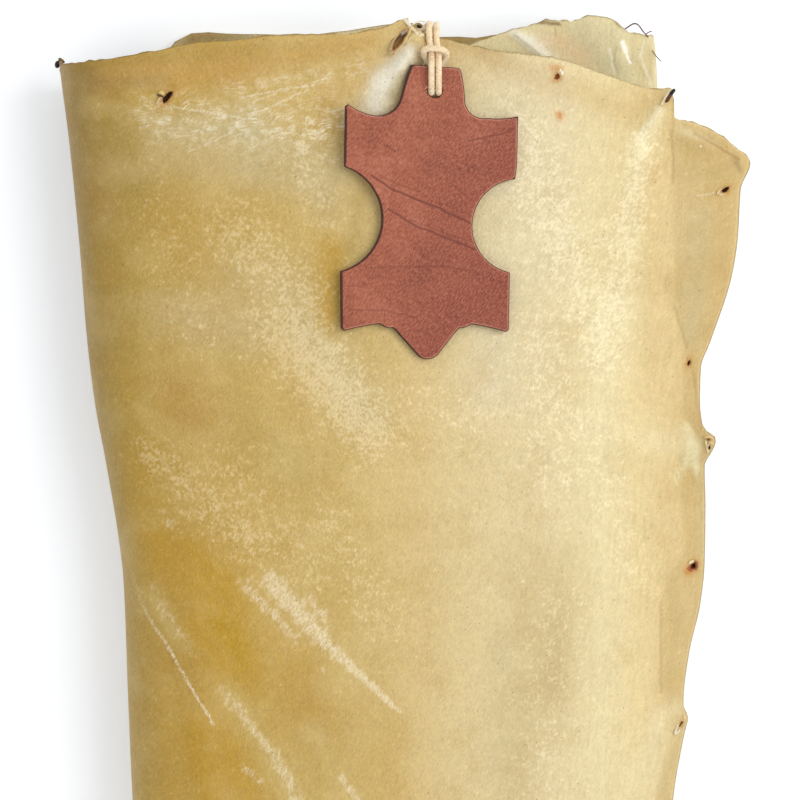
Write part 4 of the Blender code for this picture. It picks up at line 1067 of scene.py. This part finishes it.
STRAYS_AND_SLIT_SHADOWS = [  # shade, half-thickness, points: across, along, height
    ((96, 66, 44), 0.3, [
        (90.8, 295.8, 31.8), (94.3, 297.9, 33), (96.4, 297.3, 33), (98.4, 295.1, 30), (100.9, 292.9, 26.4),
    ]),
    ((96, 66, 44), 0.22, [(99.6, 294, 26.7), (101, 294.9, 27.8), (102.4, 295.3, 28.4)]),
    ((104, 80, 54), 0.2, [(102.6, 287.6, 24.5), (104.2, 285.4, 23.4), (106.4, 283.2, 22.2)]),
    ((236, 226, 200), 0.16, [(-83, 289.6, 1.8), (-76, 291.6, 3.1), (-70, 290.9, 2.8)]),
    ((236, 226, 200), 0.13, [(-78, 289.2, 1.7), (-72, 292.2, 3.2), (-66.5, 291.8, 2.8)]),
    ((228, 214, 178), 0.14, [(-88.5, 289.8, 1.9), (-82, 292.4, 3), (-79, 294, 3.8)]),
    ((240, 230, 204), 0.75, [(-0.6, 298.4, 51.8), (1, 296.4, 53.6), (3, 294, 54.4), (5.6, 291.4, 54.6)]),
    ((222, 200, 156), 0.6, [(0.8, 298.7, 51.8), (1.6, 295.2, 54.2), (4.2, 292.8, 54.8), (7, 292.4, 54)]),
    ((246, 240, 222), 0.36, [(2.8, 295.7, 53.1), (6, 297.4, 52.8), (8.4, 297, 52.4)]),
    ((236, 220, 184), 0.95, [(5.2, 290.2, 54.2), (6.6, 291.4, 54.6), (7.8, 291, 53.8)]),
    ((208, 180, 124), 0.75, [(0.2, 297.6, 51.2), (1.4, 295, 52.6), (2.6, 292.2, 53.6), (4.4, 289.8, 54)]),
    # painted shadow: a dark strip for the shade in the slit beside the cord's hole
    ((40, 26, 20), 0.8, [(4.8, 295.6, 51.6), (6.2, 295, 51.2), (7.6, 294, 50.8)]),
    ((84, 60, 40), 0.22, [(-4.6, 288.4, 53.4), (-2.6, 290.4, 53.6), (-0.8, 293.4, 53.2)]),
    ((70, 50, 36), 0.2, [(-1, 289.6, 53.6), (0.6, 291.6, 53.6), (2.4, 292.8, 53.4)]),
    ((166, 138, 120), 0.75, [(-3.4, 293.6, 50.4), (-1, 294.2, 50), (1, 293.4, 50.2)]),
    ((222, 194, 126), 0.95, [(-100.4, 268.2, 53), (-99.4, 268, 53.8), (-98.2, 267.2, 53.2)]),
    ((96, 62, 30), 0.35, [(-101.2, 267.2, 53.4), (-99.8, 266.6, 53.7), (-98.4, 266.2, 53.3)]),
    ((120, 92, 54), 0.8, [(-143.6, 284.4, 24.2), (-142.6, 283.4, 24.6), (-141.2, 282.6, 24.2)]),
    ((66, 44, 28), 0.7, [(-143.9, 282.8, 24.6), (-142.6, 281.2, 24.8), (-142.4, 279.4, 24.4)]),
    ((170, 82, 36), 0.5, [(-5.4, 284.4, 53.3), (-4.3, 285.4, 53.7), (-3.5, 286.8, 53.4)]),
    ((174, 150, 130), 1.1, [(-2.4, 291.6, 52.4), (0.2, 293, 52.8), (2.4, 293.8, 52.4)]),
    # painted shadow: a near-black strip for the dark opening of the corner's torn hole
    ((14, 9, 7), 0.85, [(110.7, 270.2, 43.6), (109.9, 269.1, 44.1), (108.9, 267.8, 43.9)]),
    ((90, 50, 24), 0.75, [(109.3, 268.3, 43.7), (108.2, 266.5, 43.9), (107, 264.8, 43.5)]),
    ((240, 228, 196), 0.35, [(109.5, 270.6, 41.8), (107.9, 268.9, 42.8), (106.2, 266.6, 43.4)]),
    ((226, 196, 140), 0.5, [(123.2, 127, 34.6), (125, 127.4, 35.5), (127, 126.8, 35)]),
    ((244, 228, 184), 0.4, [(124, 126, 34.7), (124.4, 123.6, 35.3), (125, 120.8, 34.4)]),
    ((110, 78, 44), 0.45, [(124.6, 126.2, 34.8), (126, 126, 34.6), (127.4, 125.4, 34)]),
    # painted shadow: a dark strip for the shade in the nub's slit
    ((24, 16, 12), 0.45, [(125.8, 124.2, 35.2), (125.6, 123.2, 35.4), (125.4, 122.2, 35.2)]),
    ((44, 28, 20), 1.1, [(-144, 280.4, 23.8), (-144.3, 281.8, 24.4), (-143.4, 283.2, 24.2)]),
    ((240, 232, 208), 0.4, [(-141.8, 281.6, 25.5), (-142.8, 280, 25.8), (-143, 278.6, 25.2)]),
    ((250, 240, 214), 0.2, [(8.2, 281, 53.6), (7.8, 279.6, 54.2), (7.2, 278.6, 54)]),
]


def on_skin(across, along, turn, x, y, rise):
    """Points about a place on top: an oval's own x and y, turned by turn degrees, and raised by rise from the
    plane that touches the skin's upper face there."""
    c, s = math.cos(math.radians(turn)), math.sin(math.radians(turn))
    x, y = x * c - y * s, x * s + y * c
    here = top_face(across, along)
    slope_x, slope_y = top_face(across + 1, along) - here, here - top_face(across, along - 1)
    return np.stack([across + x, along + y, here + slope_x * x + slope_y * y + rise], -1).reshape(-1, 3)


def curled_lip(hole, start, end, height, outward):
    """A strip along part of a torn hole's rim. From its root on the rim it rises and rolls over, outwards:
    its height goes as the sine of the way across it, and both fade to nothing at the strip's two ends."""
    across, along, length, width, turn, *_ = hole
    a = np.radians(np.linspace(start, end, LIP_GRID[0]))[:, None]
    t = np.linspace(0, 1, LIP_GRID[1])[None, :]
    body = np.sin(np.linspace(0, np.pi, LIP_GRID[0]))[:, None] ** 0.6
    frayed = 1 + 0.16 * np.sin(5 * a + across) + 0.1 * np.sin(11 * a)
    out = 1 + outward * body * t**1.4 * frayed - 0.10 * (1 - t)
    x, y = (length / 2 + 0.1) * np.cos(a) * out, (width / 2 + 0.1) * np.sin(a) * out
    rise = height * body * frayed * np.sin(t * 2.2) - 0.4
    corner = np.arange(a.size * t.size).reshape(LIP_GRID)
    return on_skin(across, along, turn, x, y, rise), quads(corner, True).reshape(-1, 4).tolist()


def shrunk_floor(across, along, length, width, turn):
    """The hide that has shrunk down inside a torn hole: an oval dish, deepest in its middle. Its colour is
    the torn hide's own, darkened in most holes as painted shade of the opening.
    """
    a = np.linspace(0, 2 * np.pi, DISH_GRID[0], endpoint=False)[:, None]
    t = np.linspace(0.05, 1.12, DISH_GRID[1])[None, :]
    rise = -1.0 - 1.3 * (1 - t**2)
    points = on_skin(across, along, turn, length / 2 * np.cos(a) * t, width / 2 * np.sin(a) * t, rise)
    corner = np.arange(len(points)).reshape(DISH_GRID)
    faces = quads(np.append(corner, corner[:1], 0)).reshape(-1, 4).tolist()
    return points, faces + [corner[:, 0].tolist()]


lips, shades = [], []
t = np.tile(np.linspace(0, 1, LIP_GRID[1]), LIP_GRID[0])[:, None] ** 0.8
for name, start, end, height, outward, root, tip in LIPS:
    lips.append(curled_lip(PEG_HOLES[name], start, end, height, outward))
    shades.append(dye_all(root) + (dye_all(tip) - dye_all(root)) * t)
# Each opened hole gets a dish, coloured with its shade inside: partly painted shade of the opening
for across, along, length, width, turn, cells, _, inside in PEG_HOLES.values():
    if cells:
        lips.append(shrunk_floor(across, along, length, width, turn))
        shades.append(np.tile(dye_all(inside), (len(lips[-1][0]), 1)))
horn, horn_shader, glue = new_material("torn_lip", 0.42, 0.4)
fine = glue.place().noise(2.4, 3, 0.6)
wear(horn_shader, glue.painted("tone").scaled(0.7 + fine * 0.6), 0.35 + fine * 0.25, fine, 0.3)
torn = put_mesh("peg_lips", *joined(lips), horn)
paint(torn, "tone", np.concatenate(shades))
thicken(torn, RIND)
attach(torn, "root")

stray_and_shadow_tubes = [tube(smooth_route(points, 0.5), half, 6) for _, half, points in STRAYS_AND_SLIT_SHADOWS]
stray_and_shadow_tones = [np.tile(dye_all(row[0]), (len(points), 1)) for row, (points, _) in zip(STRAYS_AND_SLIT_SHADOWS, stray_and_shadow_tubes)]
strays_and_shadows = put_mesh("stray_hairs_and_slit_shadows", *joined(stray_and_shadow_tubes), horn)
paint(strays_and_shadows, "tone", np.concatenate(stray_and_shadow_tones))
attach(strays_and_shadows, "root")

# ---- The hang tag --------------------------------------------------------------------------------
# A tag of thick vegetable-tanned cowhide, dyed a reddish brown and die-cut to a hide's outline, with a
# punched hole for the cord. It lies on the roll's crown. Its face is left bare.
TAG_MIDDLE = (10.0, 219.0)
TAG_OUTLINE = [  # across, along, bulge of the side to the next point (below zero: hollow)
    (-7.6, 60.2, 0), (10.8, 59, 0.5), (12.8, 57.6, 0.3), (14.5, 44.7, -2.2), (23.4, 38.6, -0.5),
    (36.1, 39.4, 0), (35.7, 19.8, 0), (34.9, 13.7, -16.4), (32.8, -24.2, 0), (32.4, -47.5, 0.3),
    (30.9, -48.5, -0.3), (16.9, -45.4, 0.5), (12, -47, 0), (3.5, -57.7, 1.6), (-4.7, -58.5, 0),
    (-15, -47, 0.6), (-20.5, -45.3, -0.3), (-34.9, -48.2, 0.3), (-36.3, -46.5, 0), (-36.5, -23.8, -16),
    (-34.9, 18.6, 0), (-34.5, 43.2, 0.2), (-32.9, 43.9, -0.7), (-22.5, 39.5, -2.4), (-12, 46.5, 0.2),
]
TAG_HOLE = (2.2, 49.3, 6.4, 5.4)  # across, along, width, height
TAG_LIFT = 3.3  # at the hole, where the cord runs under the tag
TAG_SPAN = 20.0  # either way of its middle, to read the crown's slope across
TAG_FOOT = 55.0  # from its middle down to where it rests
TAG_STEP = 1.0  # between the points of the outline
TAG_CELL = 1.15  # between the points inside it
TAG_EDGE = 0.4  # how far its corners are rounded
TAG_WRINKLES = [  # half-width, strength, points: the hide's growth lines, drawn darker, partly their own colour and partly painted shade in their creases
    (0.5, 1, [(-23.7, 15), (-16, 10), (-7.6, 6.2), (2.9, 2.3), (9.9, -1.2), (17.6, -4.7)]),
    (0.3, 0.5, [(-20, 14.8), (-12, 11.2), (-4, 8.4)]),
    (0.3, 0.5, [(6.4, 3.2), (13, 0.6), (18.6, -2)]),
    (0.5, 0.9, [(-16.7, 1.6), (-10.4, -2.6), (-4.8, -5.8), (1.5, -7.9), (7.1, -10.3), (19, -15.2)]),
    (0.3, 0.5, [(-8, -2.8), (0, -6), (9, -9.2), (20.4, -13.2)]),
    (0.45, 0.7, [(15.6, 29), (23.5, 31), (29.9, 32), (34.6, 34.2)]),
    (0.3, 0.4, [(12, 26), (20, 28.4), (27, 29.2)]),
    (0.4, 0.5, [(-25.9, -22.4), (-11.1, -22), (5.6, -21.8), (15.5, -23.3), (30, -28.5)]),
    (0.35, 0.6, [(-33, -39.5), (-17.4, -40.1), (-5.5, -42.9)]),
    (0.35, 0.5, [(-33, -29.8), (-27, -30.4)]),
    (0.4, 0.7, [(-17.6, 27.4), (-15.4, 25.8), (-13.8, 24.8)]),
    (0.35, 0.9, [(15.9, 16.6), (16.3, 18.1), (17.5, 18.5), (18.5, 17.5)]),
    (0.35, 0.6, [(9, 12), (14, 7.4), (17, 5)]),
]
TAG_DENTS = [  # from across, along, to across, along, depth, half-width from, to
    (-26, 16, 19, -5.4, 0.16, 1.2, 1.2),
    (-19, 2.5, 21, -16, 0.14, 1.2, 1.2),
    (14, 28.6, 36, 34.8, 0.12, 1.2, 1.2),
]


def arc(start, end, bulge, step):
    """Points from start to just before end, on a circle's arc that stands bulge off the straight line."""
    start, end = np.array(start), np.array(end)
    chord = end - start
    length = np.hypot(*chord)
    half = 2 * math.atan(2 * bulge / length)
    count = max(1, round(length / step))
    if abs(half) < 0.02:
        return start + np.linspace(0, 1, count, endpoint=False)[:, None] * chord
    swing = np.linspace(-half, half, count, endpoint=False)[:, None]
    out = np.array([-chord[1], chord[0]]) / length
    on_chord = (start + end) / 2 + chord / 2 * np.sin(swing) / math.sin(half)
    return on_chord + out * length / 2 * (np.cos(swing) - math.cos(half)) / math.sin(half)


def tag_slopes():
    """The tag lies on the crown and is lifted by the cord at its hole: its slopes across and along."""
    x, y = TAG_MIDDLE
    across = (top_face(x + TAG_SPAN, y) - top_face(x - TAG_SPAN, y)) / (2 * TAG_SPAN)
    hole, foot = y + TAG_HOLE[1], y - TAG_FOOT
    along = (top_face(x, hole) + TAG_LIFT - top_face(x, foot) - TOUCH_GAP) / (hole - foot)
    return across, along


def tag_height(slopes, outline):
    """How high the tag's middle is, so that its back clears the skin by the touching gap."""
    needed = [
        top_face(x + TAG_MIDDLE[0], y + TAG_MIDDLE[1]) - x * slopes[0] - y * slopes[1]
        for x, y in [*outline, *(0.5 * p for p in outline)]
    ]
    return max(needed) + TOUCH_GAP + TAG_THICKNESS / 2


def within(points, loop):
    """Which points lie inside a closed line: those from which a ray crosses it an odd number of times."""
    (x, y), (ax, ay) = points.T[:, :, None], loop.T[:, None, :]
    bx, by = np.roll(ax, -1, 1), np.roll(ay, -1, 1)
    crossed_at = ax + (y - ay) * (bx - ax) / np.where(by == ay, 1e-9, by - ay)
    return (((ay > y) != (by > y)) & (x < crossed_at)).sum(1) % 2 == 1


def nearest(points, loop):
    """How far each point is from a closed line's corners, and which of them is the nearest."""
    away = np.hypot(*(points.T[:, :, None] - loop.T[:, None, :]))
    return away.min(1), away.argmin(1)


corners = [(p[:2], q[:2], p[2]) for p, q in zip(TAG_OUTLINE, TAG_OUTLINE[1:] + TAG_OUTLINE[:1])]
outline = np.concatenate([arc(start, end, bulge, TAG_STEP) for start, end, bulge in corners])
slopes = tag_slopes()
level = tag_height(slopes, np.concatenate([arc(start, end, bulge, 8.0) for start, end, bulge in corners]))
turns = np.linspace(0, 2 * np.pi, 30, endpoint=False)
hole_middle, hole_half = np.array(TAG_HOLE[:2]), np.array(TAG_HOLE[2:]) / 2
punched = hole_middle + np.stack([np.cos(turns), np.sin(turns)], 1) * hole_half

# The plate's triangles: the outline, the hole and a net of points inside, without the slivers
low, high = outline.min(0), outline.max(0)
u, v = np.meshgrid(np.arange(low[0], high[0], TAG_CELL), np.arange(low[1], high[1], TAG_CELL * 0.87))
u = u + TAG_CELL / 2 * (np.arange(len(v)) % 2)[:, None]
net_points = np.stack([u.ravel(), v.ravel()], 1)
keep = within(net_points, outline) & ~within(net_points, punched)
keep &= nearest(net_points, outline)[0] > 0.75 * TAG_CELL
keep &= nearest(net_points, punched)[0] > 0.6 * TAG_CELL
every_point = np.concatenate([outline, punched, net_points[keep]])
rims, before = [], 0
for loop in (outline, punched):
    rims += [(before + k, before + (k + 1) % len(loop)) for k in range(len(loop))]
    before += len(loop)
flat_points, _, triangles, *_ = delaunay_2d_cdt([tuple(p) for p in every_point], rims, [], 0, 1e-5)
flat_points, triangles = np.array([tuple(p) for p in flat_points]), np.array(triangles)
first, second, third = (flat_points[triangles[:, k]].T for k in range(3))
(side_x, side_y), (edge_x, edge_y) = second - first, third - first
sliver = side_x * edge_y - side_y * edge_x < 0.04
centres = flat_points[triangles].mean(1)
triangles = triangles[within(centres, outline) & ~within(centres, punched) & ~sliver]

tag_x, tag_y = flat_points.T
tag_z = level + tag_x * slopes[0] + tag_y * slopes[1]
tag_z = tag_z - bell_lines(TAG_DENTS, crease_fading, tag_x, tag_y)
chord = np.roll(outline, -1, 0) - np.roll(outline, 1, 0)
facing = np.stack([-chord[:, 1], chord[:, 0]], 1) / np.linalg.norm(chord, axis=1, keepdims=True)
inward, which = nearest(flat_points, outline)
# How far each stretch of the outline faces away from the lamp, where the painted shade on the cut edge is
# wider
shaded_side = np.clip(facing[which] @ np.array([-0.9, 0.1]), 0, 1)

# The leather: clouds of three browns, redder at the lower right, then its grain, wrinkles (partly painted
# shade in their creases) and pores
leather, leather_shader, tan_pit = new_material("tag_leather", 0.5, 0.4)
at = tan_pit.place()
lying = at.vector("SUBTRACT", (*TAG_MIDDLE, 0))
fine = at.vector("MULTIPLY", (1, 1, 0)).stretched(0.9, 1.6, 0.6).noise(1.0, 4, 0.65)
cloudy = at.noise(0.06, 3, 0.6)
blotch = at.noise(0.35, 3, 0.6)
cloud = cloudy * 0.85 + blotch * 0.4 - 0.12
tones = cloud.ramp((0.25, 128, 60, 40), (0.5, 156, 80, 54), (0.75, 180, 106, 80))
low_right = lying.vector("DOT_PRODUCT", (0.020, -0.008, 0), 1).rise(-0.35, 0.75)
tones = tones.tint(low_right * 0.66, (126, 48, 32))
tones = tones.tint(fine.rise(0.42, 0.70) * 0.46, (204, 136, 106))
tones = tones.tint(fine.rise(0.52, 0.28) * 0.46, (94, 42, 28))
growth = [(*p, *q, half, strength) for half, strength, line in TAG_WRINKLES for p, q in zip(line, line[1:])]
wrinkle = lines_on(lying, growth, 1.2, fine) * (fine.rise(0.25, 0.6) * 0.6 + 0.4)
tones = tones.tint(wrinkle * 0.75, (96, 38, 26))
tones = tones.tint(at.cells(0.16).rise(0.09, 0.03) * 0.6, (90, 40, 30))

# Its cut edge: a painted highlight towards the lamp, and dark at the very rim, partly its own colour and
# partly painted shade, with the painted shade wider on the side away from the lamp
from_rim, away_from_lamp, _ = tan_pit.painted("rim").parts()
lit_rim = from_rim.rise(1.1, 0.5) * from_rim.rise(0.2, 0.5) * (1 - away_from_lamp).rise(0.55, 0.9)
tones = tones.tint(lit_rim * 0.45, (214, 148, 126))
tones = tones.tint((from_rim - away_from_lamp * 0.75).rise(0.45, 0.15) * 0.92, (50, 20, 12))
bumps = fine * 0.60 + at.cells(1.6) * 0.25 + blotch * 0.4
wear(leather_shader, tones, 0.46 + fine * 0.16, bumps, 0.40)

tag_points = np.stack([tag_x + TAG_MIDDLE[0], tag_y + TAG_MIDDLE[1], tag_z], 1)
tag = put_mesh("hang_tag_leather", tag_points, triangles, leather)
# rim holds the distance from the rim and how far the edge faces away from the lamp, for its painted highlight
# and shade
paint(tag, "rim", np.stack([np.clip(inward, 0, 10), shaded_side, 0 * inward], 1))
thicken(tag, TAG_THICKNESS)
rounded = tag.modifiers.new("rounded", "BEVEL")
rounded.width = TAG_EDGE * MM
rounded.segments = 2
rounded.limit_method = "ANGLE"
rounded.angle_limit = math.radians(50)
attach(tag, "root")
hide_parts("hang_tag")
